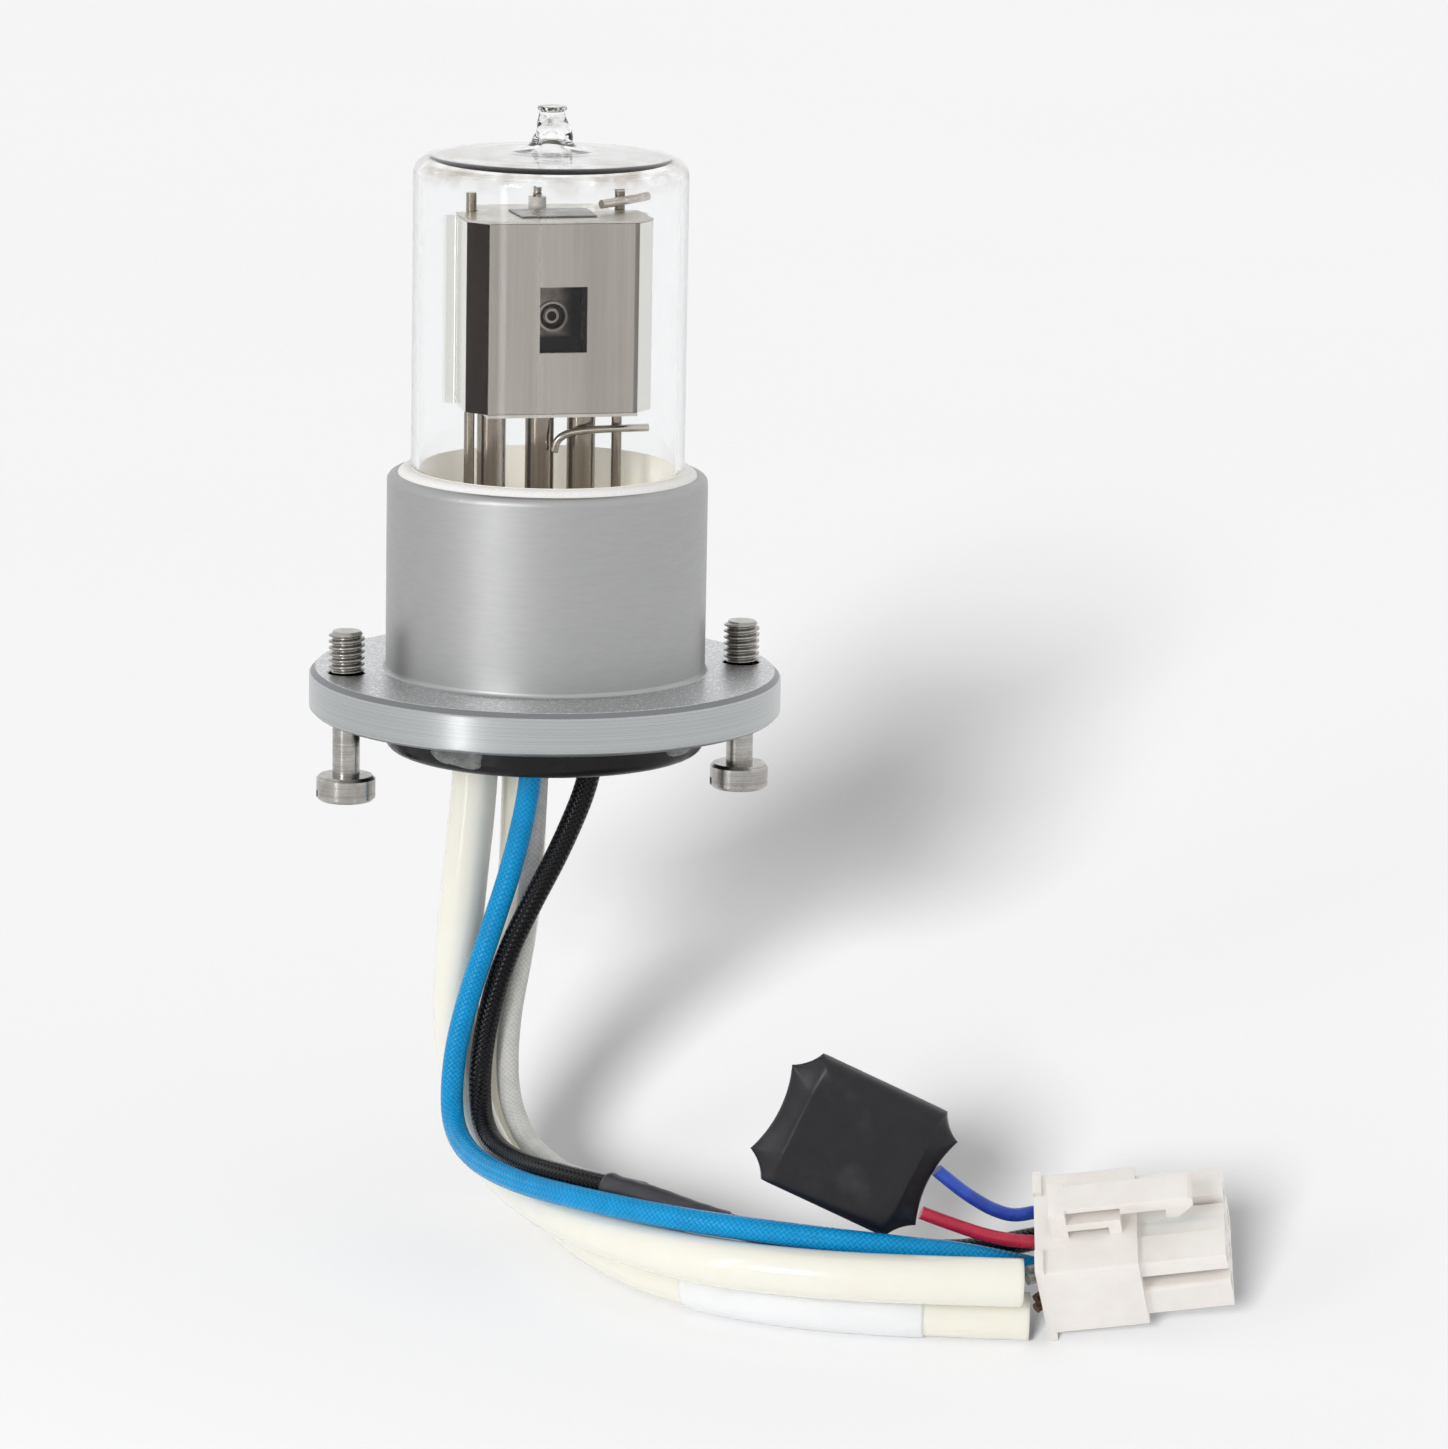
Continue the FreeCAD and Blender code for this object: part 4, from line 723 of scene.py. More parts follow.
def pouch_height(x, y, k):
    """Plateau that rounds off at the seam, thins over the ends and is pleated there."""
    plateau = POUCH_THICK / 2 * np.sqrt(np.clip(1 - k ** 9, 0, 1))
    past = np.clip((np.abs(x) - BOARD_HALF) / (POUCH_HALF - BOARD_HALF), 0, 1)
    thin = 1 - 0.78 * past ** 0.8
    pleats = 0.1 * past * np.sin(2.3 * y + 0.6 * np.sin(y)) * np.clip(1 - k ** 6, 0, 1)
    board = 0.07 * np.cos(0.55 * x + 0.4) * np.cos(0.5 * y - 0.5)
    return plateau * thin + pleats + board * np.clip(1 - k ** 6, 0, 1)


def module_pouch():
    """Rings k * outline up one face and down the other, turned into the module's frame."""
    k = np.linspace(0, 1, 44) ** 0.7
    outline = pouch_outline()
    x = k[:, None] * outline[None, :, 0]
    y = k[:, None] * outline[None, :, 1]
    height = pouch_height(x, y, k[:, None])
    top = np.stack([x, y, height], axis=-1)
    under = np.stack([x, y, -height], axis=-1)[::-1][1:]
    points = np.concatenate([top, under])
    piece = add_piece("module_pouch", points * MM,
                      grid_faces(len(points), len(outline), around=True).tolist())
    close_up(piece, 0.001, turned_frame(POUCH_AT, POUCH_TURN))
    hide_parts("module_sleeve")
    return piece


pouch = module_pouch()
print("pouch faces:", len(pouch.data.polygons))

# %% [markdown]
# Two small things show how the lamp was put together by hand: dabs of clear sealant on the rim
# of the black cap, and the strands of the anode lead, twisted round each other above their
# ceramic sleeve. A dab is a round patch bent round the cap, thickest in its middle. The strands
# are helices carried along the post.

# %% Sealant dabs and twisted strands
CAP_RADIUS = 17.65
DABS = {"left": (-134.0, 11.0, -7.0, 1.25), "right": (-44.0, 12.0, -6.6, 1.1)}
DAB_THICK = 0.42
DAB_COLUMNS = 40


def sealant_dab(side, middle, reach, height, tall):
    """Patch s(cos t, sin t) in angle and height; its radius adds thick * sqrt(1 - s * s)."""
    s = np.linspace(0, 1, 14)[:, None]
    t = np.linspace(0, 2 * math.pi, DAB_COLUMNS, endpoint=False)[None, :]
    wobble = 1 + 0.12 * np.sin(3 * t + middle) + 0.07 * np.sin(5 * t)
    angle = np.radians(middle + reach * s * wobble * np.cos(t))
    level = height + tall * s * wobble * np.sin(t)
    lift = DAB_THICK * np.sqrt(1 - s ** 2) * np.ones_like(t)
    outer = CAP_RADIUS + lift
    inner = np.full_like(outer, CAP_RADIUS - 0.25)
    rows = []
    for radius, order in ((outer, slice(None)), (inner, slice(None, None, -1))):
        rows.append(np.stack([radius * np.cos(angle), radius * np.sin(angle), level], -1)[order])
    points = np.concatenate(rows)
    piece = add_piece("sealant_dab_" + side, points * MM,
                      grid_faces(len(points), DAB_COLUMNS, around=True).tolist())
    return close_up(piece)


dabs = [sealant_dab(side, *numbers) for side, numbers in DABS.items()]
POST = (-0.2, 6.55)
STRAND_RADIUS = 0.16
STRAND_TURN = 0.34
STRAND_LOW = 50.9
STRAND_HIGH = 52.9
STRANDS = 3
STRAND_TURNS = 1.6
STRAND_ROWS = 60
STRAND_COLUMNS = 12


def twisted_strand(number):
    """Helix: place on the post plus turn radius times (cos, sin) of a growing angle."""
    share = np.linspace(0, 1, STRAND_ROWS)
    angle = 2 * math.pi * (number / STRANDS + STRAND_TURNS * share)
    line = np.stack([POST[0] + STRAND_TURN * np.cos(angle), POST[1] + STRAND_TURN * np.sin(angle),
                     STRAND_LOW + (STRAND_HIGH - STRAND_LOW - 0.25 * number) * share], axis=1) * MM
    points = tube_points(line, STRAND_RADIUS * MM, STRAND_COLUMNS)
    return add_piece("anode_strand_%d" % (number + 1), points,
                     tube_faces(STRAND_ROWS, STRAND_COLUMNS))


strands = [twisted_strand(number) for number in range(STRANDS)]
print("dabs:", len(dabs), "strands:", len(strands))

# %% [markdown]
# For each lead a table lists the kind of its far end and the pieces near that end: the plug, the
# module and the short wires between them go with the first cream sleeve. The loop over it only
# picks each lead's thickness.

on_the_end = [connector, pouch] + [nodes[name] for name in (
    "connector_terminals", "sleeve_a_wires", "module_lead_blue", "module_lead_red")]
carried = {
    "cream_sleeve_a": ("connector", on_the_end),
    "cream_sleeve_b": ("connector", [marker, nodes["sleeve_b_wires"]]),
    "blue_lead": ("object", []),
    "black_lead": ("object", []),
    "white_lead": ("fitting", [splice, splice_tail]),
}
for name, (far_end, pieces) in carried.items():
    thick = CREAM_RADIUS if name in CREAMS else BRAID_RADIUS

# %% [markdown]
# Every finish is worked out by nodes. A few small helpers keep them readable: one turns a screen
# colour into the linear colour that the shader wants, one adds a node and wires its inputs in the
# same line, and two open and place a node group with named sockets.

# %% Node helpers
def paint(red, green, blue):
    """Linear colour for a colour as a screen shows it, 0 to 255."""
    screen = np.array([red, green, blue]) / 255
    linear = np.where(screen <= 0.04045, screen / 12.92, ((screen + 0.055) / 1.055) ** 2.4)
    return (*linear.tolist(), 1.0)


def plug_in(tree, socket, value):
    """Wire another node's output to a socket, or set the socket's own number or colour."""
    if isinstance(value, bpy.types.NodeSocket):
        tree.links.new(value, socket)
    else:
        socket.default_value = value


def make(tree, kind, inputs=None, **settings):
    """Add a node; an input is a number, a colour or another node's output."""
    made = tree.nodes.new("ShaderNode" + kind)
    for key, value in settings.items():
        setattr(made, key, value)
    for key, value in (inputs or {}).items():
        plug_in(tree, made.inputs[key], value)
    return made


def maths(tree, operation, *values, clamp=False):
    """Output of a Math node."""
    made = make(tree, "Math", dict(enumerate(values)), operation=operation, use_clamp=clamp)
    return made.outputs[0]


def distance(tree, across, up):
    """Length of the line whose two legs are given: the root of the sum of squares."""
    return maths(tree, "SQRT", maths(tree, "ADD", maths(tree, "MULTIPLY", across, across),
                                     maths(tree, "MULTIPLY", up, up)))


def split(tree, vector):
    """X, Y and Z of a vector."""
    return make(tree, "SeparateXYZ", {0: vector}).outputs


def step_mask(tree, value, low, high):
    """Mask that goes smoothly from 0 at low to 1 at high."""
    made = make(tree, "MapRange", {"Value": value, "From Min": low, "From Max": high},
                interpolation_type="SMOOTHSTEP")
    return made.outputs["Result"]


def blend_colour(tree, factor, first, second):
    """Output of a colour mix."""
    made = tree.nodes.new("ShaderNodeMix")
    made.data_type = "RGBA"
    for place, value in ((0, factor), (6, first), (7, second)):
        plug_in(tree, made.inputs[place], value)
    return made.outputs[2]


def open_group(name, inputs, outputs):
    """New shader node group: its tree, its inputs' sockets and its output node."""
    tree = bpy.data.node_groups.new(name, "ShaderNodeTree")
    for title, kind, start in inputs:
        socket = tree.interface.new_socket(title, in_out="INPUT", socket_type="NodeSocket" + kind)
        if start is not None:
            socket.default_value = start
    for title, kind in outputs:
        tree.interface.new_socket(title, in_out="OUTPUT", socket_type="NodeSocket" + kind)
    return tree, tree.nodes.new("NodeGroupInput").outputs, tree.nodes.new("NodeGroupOutput").inputs


def use_group(tree, group, inputs):
    """Place a node group and set its inputs."""
    made = tree.nodes.new("ShaderNodeGroup")
    made.node_tree = group
    for key, value in inputs.items():
        plug_in(tree, made.inputs[key], value)
    return made.outputs


# %% [markdown]
# Real surfaces are never one even colour. The first group is the one that nearly every finish
# uses: a noise that moves the colour a little towards a second one, makes the gloss uneven and
# gives a fine height. It works on millimetres, so a scale of 2 means two blotches a millimetre.

# %% Surface variation
def surface_variation():
    """Noise at a scale: colour towards darker, roughness plus or minus spread, and height."""
    tree, given, result = open_group(
        "surface variation",
        [("Point", "Vector", None), ("Scale", "Float", 1.0), ("Color", "Color", (0.5, 0.5, 0.5, 1)),
         ("Darker", "Color", (0.4, 0.4, 0.4, 1)), ("Roughness", "Float", 0.5),
         ("Spread", "Float", 0.1)],
        [("Color", "Color"), ("Roughness", "Float"), ("Height", "Float")])
    grain = make(tree, "TexNoise", {"Vector": given["Point"], "Scale": given["Scale"],
                                    "Detail": 5.0, "Roughness": 0.6})
    share = step_mask(tree, grain.outputs[0], 0.3, 0.7)
    tree.links.new(blend_colour(tree, share, given["Color"], given["Darker"]), result["Color"])
    swing = maths(tree, "SUBTRACT", share, 0.5)
    tree.links.new(maths(tree, "MULTIPLY_ADD", swing, given["Spread"], given["Roughness"]),
                   result["Roughness"])
    tree.links.new(grain.outputs[0], result["Height"])
    return tree


def place_round_axis():
    """Radius from an upright axis, and radius and height as one vector, in millimetres."""
    tree, given, result = open_group(
        "place round the axis", [("Point", "Vector", None)],
        [("Radius", "Float"), ("Rings", "Vector")])
    parts = split(tree, given["Point"])
    radius = distance(tree, parts[0], parts[1])
    tree.links.new(radius, result["Radius"])
    rings = make(tree, "CombineXYZ", {0: radius, 1: parts[2]}).outputs[0]
    tree.links.new(rings, result["Rings"])
    return tree


def lathe_marks():
    """Fine rings left by a turning tool: noise that changes only with radius and height."""
    tree, given, result = open_group(
        "lathe marks", [("Rings", "Vector", None), ("Lines", "Float", 6.0)],
        [("Height", "Float"), ("Mask", "Float")])
    grooves = make(tree, "TexNoise", {"Vector": given["Rings"], "Scale": given["Lines"],
                                      "Detail": 3.0, "Roughness": 0.7})
    tree.links.new(grooves.outputs[0], result["Height"])
    tree.links.new(step_mask(tree, grooves.outputs[0], 0.42, 0.62), result["Mask"])
    return tree


def braid_weave():
    """Strands of a braid: bands along U turns + V over pitch, over and under the other way."""
    tree, given, result = open_group(
        "braid weave", [("Point", "Vector", None), ("Carriers", "Float", 8.0),
                        ("Pitch", "Float", 1.1)],
        [("Height", "Float"), ("Gap", "Float"), ("Glint", "Float")])
    parts = split(tree, given["Point"])
    round_way = maths(tree, "MULTIPLY", parts[0], given["Carriers"])
    along = maths(tree, "DIVIDE", parts[1], given["Pitch"])
    first = maths(tree, "ADD", round_way, along)
    second = maths(tree, "SUBTRACT", round_way, along)
    ridges = [maths(tree, "ABSOLUTE", maths(tree, "SINE", maths(tree, "MULTIPLY", way, math.pi)))
              for way in (first, second)]
    tiles = maths(tree, "ADD", maths(tree, "FLOOR", first), maths(tree, "FLOOR", second))
    over = maths(tree, "PINGPONG", tiles, 1.0)
    height = maths(tree, "ADD", maths(tree, "MULTIPLY", ridges[0], over),
                   maths(tree, "MULTIPLY", ridges[1], maths(tree, "SUBTRACT", 1.0, over)))
    tree.links.new(height, result["Height"])
    tree.links.new(step_mask(tree, height, 0.45, 0.1), result["Gap"])
    tree.links.new(step_mask(tree, height, 0.8, 0.98), result["Glint"])
    return tree


def bright_specks():
    """Mask for painted glints on a blasted face: cells of random brightness, the brightest kept."""
    tree, given, result = open_group(
        "bright specks", [("Point", "Vector", None), ("Scale", "Float", 6.0)],
        [("Mask", "Float"), ("Height", "Float")])
    cells = make(tree, "TexVoronoi", {"Vector": given["Point"], "Scale": given["Scale"]})
    random = make(tree, "SeparateColor", {0: cells.outputs["Color"]}).outputs[0]
    tree.links.new(step_mask(tree, random, 0.72, 0.95), result["Mask"])
    tree.links.new(random, result["Height"])
    return tree


VARIATION = surface_variation()
ROUND = place_round_axis()
LATHE = lathe_marks()
BRAID = braid_weave()
SPECKS = bright_specks()
print("groups:", [group.name for group in bpy.data.node_groups])

# %% [markdown]
# A finish starts from one Principled shader, and most finishes place the variation group on it.
# Object coordinates are metres here, so a Mapping node turns them into millimetres, and it can
# stretch the pattern along the way a sheet was rolled or a wire was drawn.

# %% Start of a finish
def start_finish(name, metallic=0.0, **sockets):
    """Material with its Principled shader; its constant values are set on their own sockets."""
    material = bpy.data.materials.new(name)
    material.use_nodes = True
    tree = material.node_tree
    shader = tree.nodes["Principled BSDF"]
    shader.inputs["Metallic"].default_value = metallic
    for key, value in sockets.items():
        shader.inputs[key.replace("_", " ")].default_value = value
    return material, tree, shader


def millimetres(tree, stretch=(1, 1, 1)):
    """Object coordinates in millimetres, each axis stretched by its own factor."""
    where = make(tree, "TexCoord").outputs["Object"]
    scale = tuple(1000 / part for part in stretch)
    return make(tree, "Mapping", {"Vector": where, "Scale": scale}).outputs[0]


def vary(tree, point, scale, colour, darker, roughness, spread):
    """Place the variation group; it gives Color, Roughness and Height."""
    return use_group(tree, VARIATION, {
        "Point": point, "Scale": scale, "Color": colour, "Darker": darker,
        "Roughness": roughness, "Spread": spread})


def feed(tree, shader, colour=None, roughness=None, height=None, depth=0.01, lift=0.5):
    """Wire colour, roughness and a height with a depth in millimetres into the shader."""
    if colour is not None:
        tree.links.new(colour, shader.inputs["Base Color"])
    if roughness is not None:
        tree.links.new(roughness, shader.inputs["Roughness"])
    if height is not None:
        bump = make(tree, "Bump", {"Height": height, "Strength": lift, "Distance": depth * MM})
        tree.links.new(bump.outputs[0], shader.inputs["Normal"])


def plain_finish(name, colour, darker, roughness, spread=0.08, scale=1.0, stretch=(1, 1, 1),
                 depth=0.01, metallic=0.0, **sockets):
    """Finish with only the surface variation group on it."""
    material, tree, shader = start_finish(name, metallic, **sockets)
    varied = vary(tree, millimetres(tree, stretch), scale, colour, darker, roughness, spread)
    feed(tree, shader, varied["Color"], varied["Roughness"], varied["Height"], depth)
    return material


def dress(material, *names):
    """Give CAD nodes or new pieces a finish."""
    for name in names:
        piece = nodes[name] if isinstance(name, str) else name
        if not piece.material_slots:
            piece.data.materials.append(material)
        for slot in piece.material_slots:
            slot.material = material


# %% [markdown]
# The flange is one turned piece with three finishes: the collar is matte grey, the upper face
# of the disc is bead-blasted, with its glitter painted as bright specks (painted glints), and the
# disc's edge is bright with fine rings from the lathe. A darker chamfer lies between the two. The
# radius picks the zone, so the borders are exact.

# %% Aluminium flange
COLLAR_OUT = 17.75
DISC_OUT = 25.3


def flange_finish():
    """Collar, face, chamfer and edge by radius, mixed in colour, roughness and height."""
    material, tree, shader = start_finish("turned_aluminium", 1.0)
    point = millimetres(tree)
    place = use_group(tree, ROUND, {"Point": point})
    marks = use_group(tree, LATHE, {"Rings": place["Rings"], "Lines": 9.0})
    glint_specks = use_group(tree, SPECKS, {"Point": point, "Scale": 5.5})
    collar = vary(tree, millimetres(tree, (6, 6, 1)), 2.5, paint(173, 174, 173),
                  paint(170, 171, 170), 0.48, 0.03)
    # painted glints: near-white specks on the blasted face
    top = blend_colour(tree, glint_specks["Mask"], paint(192, 194, 196), paint(238, 240, 242))
    side = blend_colour(tree, marks["Mask"], paint(186, 189, 189), paint(166, 169, 169))
    on_disc = step_mask(tree, place["Radius"], COLLAR_OUT, COLLAR_OUT + 0.35)
    on_side = step_mask(tree, place["Radius"], DISC_OUT + 0.5, DISC_OUT + 0.62)
    chamfer = maths(tree, "MULTIPLY", step_mask(tree, place["Radius"], DISC_OUT, DISC_OUT + 0.06),
                    maths(tree, "SUBTRACT", 1.0, on_side))
    top = blend_colour(tree, chamfer, top, paint(128, 130, 134))
    colour = blend_colour(tree, on_disc, collar["Color"], blend_colour(tree, on_side, top, side))
    rough = maths(tree, "MULTIPLY_ADD", on_side, -0.08, 0.36)
    rough = maths(tree, "ADD", maths(tree, "MULTIPLY", rough, on_disc),
                  maths(tree, "MULTIPLY", collar["Roughness"], maths(tree, "SUBTRACT", 1.0, on_disc)))
    blasted = maths(tree, "MULTIPLY", glint_specks["Height"],
                    maths(tree, "MULTIPLY", on_disc, maths(tree, "SUBTRACT", 1.0, on_side)))
    turned = maths(tree, "MULTIPLY", marks["Height"], maths(tree, "MULTIPLY_ADD", on_side, 0.5, 0.04))
    feed(tree, shader, colour, rough, maths(tree, "ADD", blasted, turned), 0.02, 0.6)
    return material


dress(flange_finish(), "base_flange")

# %% [markdown]
# The screws are turned steel: darker than the flange, with rings along their heads and necks.
# The rings must go round each screw's own axis, so a Mapping node first moves that axis to the
# middle. One function makes both materials.

# %% Screw steel
def screw_finish(side, x):
    """Lathe marks round the screw's own axis on grey steel."""
    material, tree, shader = start_finish("turned_steel_" + side, 1.0)
    where = make(tree, "TexCoord").outputs["Object"]
    point = make(tree, "Mapping", {"Vector": where, "Scale": (1000, 1000, 1000),
                                   "Location": (-x, 0, 0)}).outputs[0]
    place = use_group(tree, ROUND, {"Point": point})
    marks = use_group(tree, LATHE, {"Rings": place["Rings"], "Lines": 7.0})
    varied = vary(tree, point, 0.8, paint(186, 184, 180), paint(164, 161, 156), 0.24, 0.08)
    colour = blend_colour(tree, maths(tree, "MULTIPLY", marks["Mask"], 0.6), varied["Color"],
                          paint(134, 130, 124))
    feed(tree, shader, colour, varied["Roughness"], marks["Height"], 0.02, 0.4)
    return material


for screw, side, x in zip(screws, ("left", "right"), (-SCREW_OFFSET, SCREW_OFFSET)):
    dress(screw_finish(side, x), screw)

# %% [markdown]
# Clear glass shows itself by its edges, where the wall is seen along its length and looks grey
# against a white room. The Principled shader bends the light by itself. Its colour is painted a
# little greyer where the surface turns away, a painted reflection that only camera rays meet, and
# the crown has warm streaks of painted reflection. Lamps reach what is inside through a Transparent
# shader that only shadow rays meet. Where the bulb stands in its cement the faces are opaque
# cream with a little painted glow, which stands in for the light that soaks through the cement.
# They were marked when the bulb was made.

# %% Glass
SILICA_IOR = 1.458
SILICA_CLEAR = (0.985, 0.99, 0.99, 1)
CROWN_FROM = (52.8, 56.2)
CROWN_TO = (57.6, 56.4)


def silica_finish():
    """Principled glass, painted reflection on its edges and crown, open to shadow rays."""
    material, tree, shader = start_finish("clear_silica", Transmission_Weight=1.0, IOR=SILICA_IOR,
                                          Roughness=0.0, Specular_Tint=(0.4, 0.4, 0.4, 1))
    facing = make(tree, "LayerWeight", {"Blend": 0.5}).outputs["Facing"]
    first_met = make(tree, "LightPath").outputs["Is Camera Ray"]
    # painted reflection: greyer edges where the surface turns away
    painted_edge_grey = maths(tree, "MULTIPLY", step_mask(tree, facing, 0.6, 1.0), first_met)
    colour = blend_colour(tree, painted_edge_grey, SILICA_CLEAR, paint(190, 192, 194))
    point = millimetres(tree)
    height = split(tree, point)[2]
    crown = maths(tree, "MULTIPLY", step_mask(tree, height, *CROWN_FROM),
                  step_mask(tree, height, *CROWN_TO))
    # painted reflection: warm streaks on the crown
    crown_reflection_noise = make(tree, "TexNoise", {"Vector": point, "Scale": 0.35, "Detail": 2.0}).outputs[0]
    crown = maths(tree, "MULTIPLY", crown, step_mask(tree, crown_reflection_noise, 0.4, 0.65))
    colour = blend_colour(tree, maths(tree, "MULTIPLY", crown, 0.6), colour, paint(176, 160, 142))
    feed(tree, shader, colour)
    passage = make(tree, "BsdfTransparent")
    shadow = make(tree, "LightPath").outputs["Is Shadow Ray"]
    either = make(tree, "MixShader", {0: shadow, 1: shader.outputs[0], 2: passage.outputs[0]})
    tree.links.new(either.outputs[0], tree.nodes["Material Output"].inputs["Surface"])
    return material


dress(silica_finish(), bulb)
# The faces in the cement glow a little: a painted glow for light soaking through the cement.
bulb.data.materials.append(plain_finish("cement_on_glass_painted_glow", paint(250, 246, 238),
                                        paint(244, 238, 227), 0.8, scale=0.6, depth=0.01,
                                        Emission_Color=paint(250, 244, 232),
                                        Emission_Strength=0.2))
dress(plain_finish("pressed_stem_glass", paint(250, 246, 236), paint(246, 241, 229), 0.12,
                   scale=0.5, depth=0.01, Transmission_Weight=0.35), "glass_stem")

# %% [markdown]
# The electrode box is folded from rolled nickel sheet. Rolling leaves faint streaks, which run
# up and down here, so the pattern is stretched in height. Light is painted on the sides: the left
# side carries a painted reflection, dark on the front sheet and pale on the pan, the right facet,
# the side walls and the wings carry a painted highlight, and a painted dark reflection runs along
# the right fold. The place across the box tells them apart.

# %% Sheet metal of the electrode box
FACET_FROM = 8.08
FACET_TO = 8.16
WING_EDGE = (10.0, 10.12)
FOLD_SHADE_EDGE = (7.55, 7.75)


def box_finish(name, light, dark, side_reflection_paint=None, highlight_paint=None):
    """Streaked nickel; a painted reflection on the left, a painted highlight right and far out."""
    material, tree, shader = start_finish(name, 1.0)
    streaks = vary(tree, millimetres(tree, (1, 1, 60)), 0.35, light, dark, 0.3, 0.08)
    fine = vary(tree, millimetres(tree, (1, 1, 25)), 3.0, light, dark, 0.3, 0.1)
    colour = blend_colour(tree, 0.2, streaks["Color"], fine["Color"])
    rough = streaks["Roughness"]
    if side_reflection_paint is not None:
        across = split(tree, millimetres(tree))[0]
        # wall: the left side, which takes the painted side reflection
        wall = step_mask(tree, across, -FACET_FROM, -FACET_TO)
        # bright and right mark the far edges and the right facet, which take the painted highlight
        bright = step_mask(tree, maths(tree, "ABSOLUTE", across), *WING_EDGE)
        right = step_mask(tree, across, FACET_FROM, FACET_TO)
        # a painted dark reflection line along the right fold
        fold_reflection_shade = maths(tree, "MULTIPLY", step_mask(tree, across, *FOLD_SHADE_EDGE), 0.6)
        colour = blend_colour(tree, fold_reflection_shade, colour, side_reflection_paint)
        colour = blend_colour(tree, wall, colour, side_reflection_paint)
        colour = blend_colour(tree, maths(tree, "MAXIMUM", right, bright), colour, highlight_paint)
        rough = maths(tree, "SUBTRACT", rough, maths(tree, "MULTIPLY", wall, 0.16))
    feed(tree, shader, colour, rough, fine["Height"], 0.002, 0.5)
    return material


def dark_facet_finish():
    """Nearly black brown glossy nickel, a painted dark reflection, for the front's left facet."""
    material, tree, shader = start_finish("facet_painted_dark_reflection", 1.0, Roughness=0.12,
                                          Specular_Tint=(0.3, 0.27, 0.25, 1))
    painted_dark_reflection = vary(tree, millimetres(tree, (1, 1, 12)), 1.2, paint(46, 37, 32),
                  paint(33, 26, 22), 0.12, 0.04)
    feed(tree, shader, painted_dark_reflection["Color"], painted_dark_reflection["Roughness"], painted_dark_reflection["Height"], 0.003)
    return material


# Front sheet: painted dark reflection on the left, painted highlight on the right and far out.
dress(box_finish("rolled_nickel_front", paint(184, 178, 171), paint(165, 158, 151),
                 paint(60, 50, 44), paint(231, 230, 225)), front_shield)
# The left slanted facet takes its own finish, a painted dark reflection.
front_shield.data.materials.append(dark_facet_finish())
facet_x = face_centres(front_shield)[:, 0]
left_facet = (facet_x < -FACE_HALF - 0.05) & (facet_x > -WALL_X + 0.02)
front_shield.data.polygons.foreach_set("material_index", left_facet.astype(np.int32))
# Pan: painted pale reflection on the left, painted highlight on the right and far out.
dress(box_finish("rolled_nickel_pan", paint(190, 184, 177), paint(170, 163, 155),
                 paint(226, 222, 216), paint(247, 246, 243)), "rear_shield")
dress(box_finish("rolled_nickel_covers", paint(214, 210, 203), paint(196, 191, 184)),
      lid, "bottom_cover")
dress(box_finish("bridge_strip_nickel", paint(150, 146, 142), paint(128, 123, 118)), bridge)

# %% [markdown]
# Behind the window the parts lie deep in the box. The aperture plate is dull molybdenum, light
# taupe at the left, with painted shade towards the right and the lower edge. The cup in it is
# stepped, and its rings alternate by radius round the cup's axis as painted light and shade,
# one for each step, with a painted dark hole in the middle.

# %% Parts behind the window
DARK_RIGHT = (0.6, 2.6)
DARK_BELOW = (37.4, 36.8)
CUP_HEIGHT = 39.2
CONE_INSIDE = (0.8, 0.9)
CONE_OUTSIDE = (1.42, 1.3)
CUP_HOLE = (0.56, 0.5)


def aperture_finish():
    """Taupe with painted shade to the right and below the plate's lower third."""
    material, tree, shader = start_finish("molybdenum_painted_shade", 1.0)
    point = millimetres(tree)
    parts = split(tree, point)
    varied = vary(tree, point, 0.9, paint(140, 131, 123), paint(118, 109, 101), 0.4, 0.1)
    # painted shade: darker to the right and below
    right = step_mask(tree, parts[0], *DARK_RIGHT)
    low = step_mask(tree, parts[2], *DARK_BELOW)
    shade = maths(tree, "MAXIMUM", maths(tree, "MULTIPLY", right, 0.9),
                  maths(tree, "MULTIPLY", low, 0.9))
    colour = blend_colour(tree, shade, varied["Color"], paint(34, 26, 22))
    feed(tree, shader, colour, varied["Roughness"], varied["Height"], 0.006)
    return material


def cup_finish():
    """Painted light and shade: dark and bright rings round the cup's own axis, which runs along Y."""
    material, tree, shader = start_finish("arc_cup_painted_rings", 1.0)
    parts = split(tree, millimetres(tree))
    radius = distance(tree, parts[0], maths(tree, "SUBTRACT", parts[2], CUP_HEIGHT))
    ring_shade_mask = maths(tree, "MULTIPLY", step_mask(tree, radius, *CONE_INSIDE),
                 step_mask(tree, radius, *CONE_OUTSIDE))
    # painted shade on the dark ring and in the hole, painted light on the rest
    colour = blend_colour(tree, ring_shade_mask, paint(150, 142, 134), paint(26, 21, 18))
    colour = blend_colour(tree, step_mask(tree, radius, *CUP_HOLE), colour, paint(20, 17, 15))
    grain = use_group(tree, VARIATION, {"Point": millimetres(tree), "Scale": 3.0})
    feed(tree, shader, colour, None, grain["Height"], 0.004)
    shader.inputs["Roughness"].default_value = 0.28
    return material


dress(aperture_finish(), "aperture_plate")
dress(cup_finish(), "arc_cup")
dress(plain_finish("dull_molybdenum", paint(112, 104, 96), paint(86, 78, 71), 0.4, metallic=1.0),
      "cathode_shield", "anode_plate")
dress(plain_finish("coated_tungsten", paint(150, 148, 142), paint(118, 114, 108), 0.55,
                   scale=6.0, metallic=1.0), "cathode_coil")
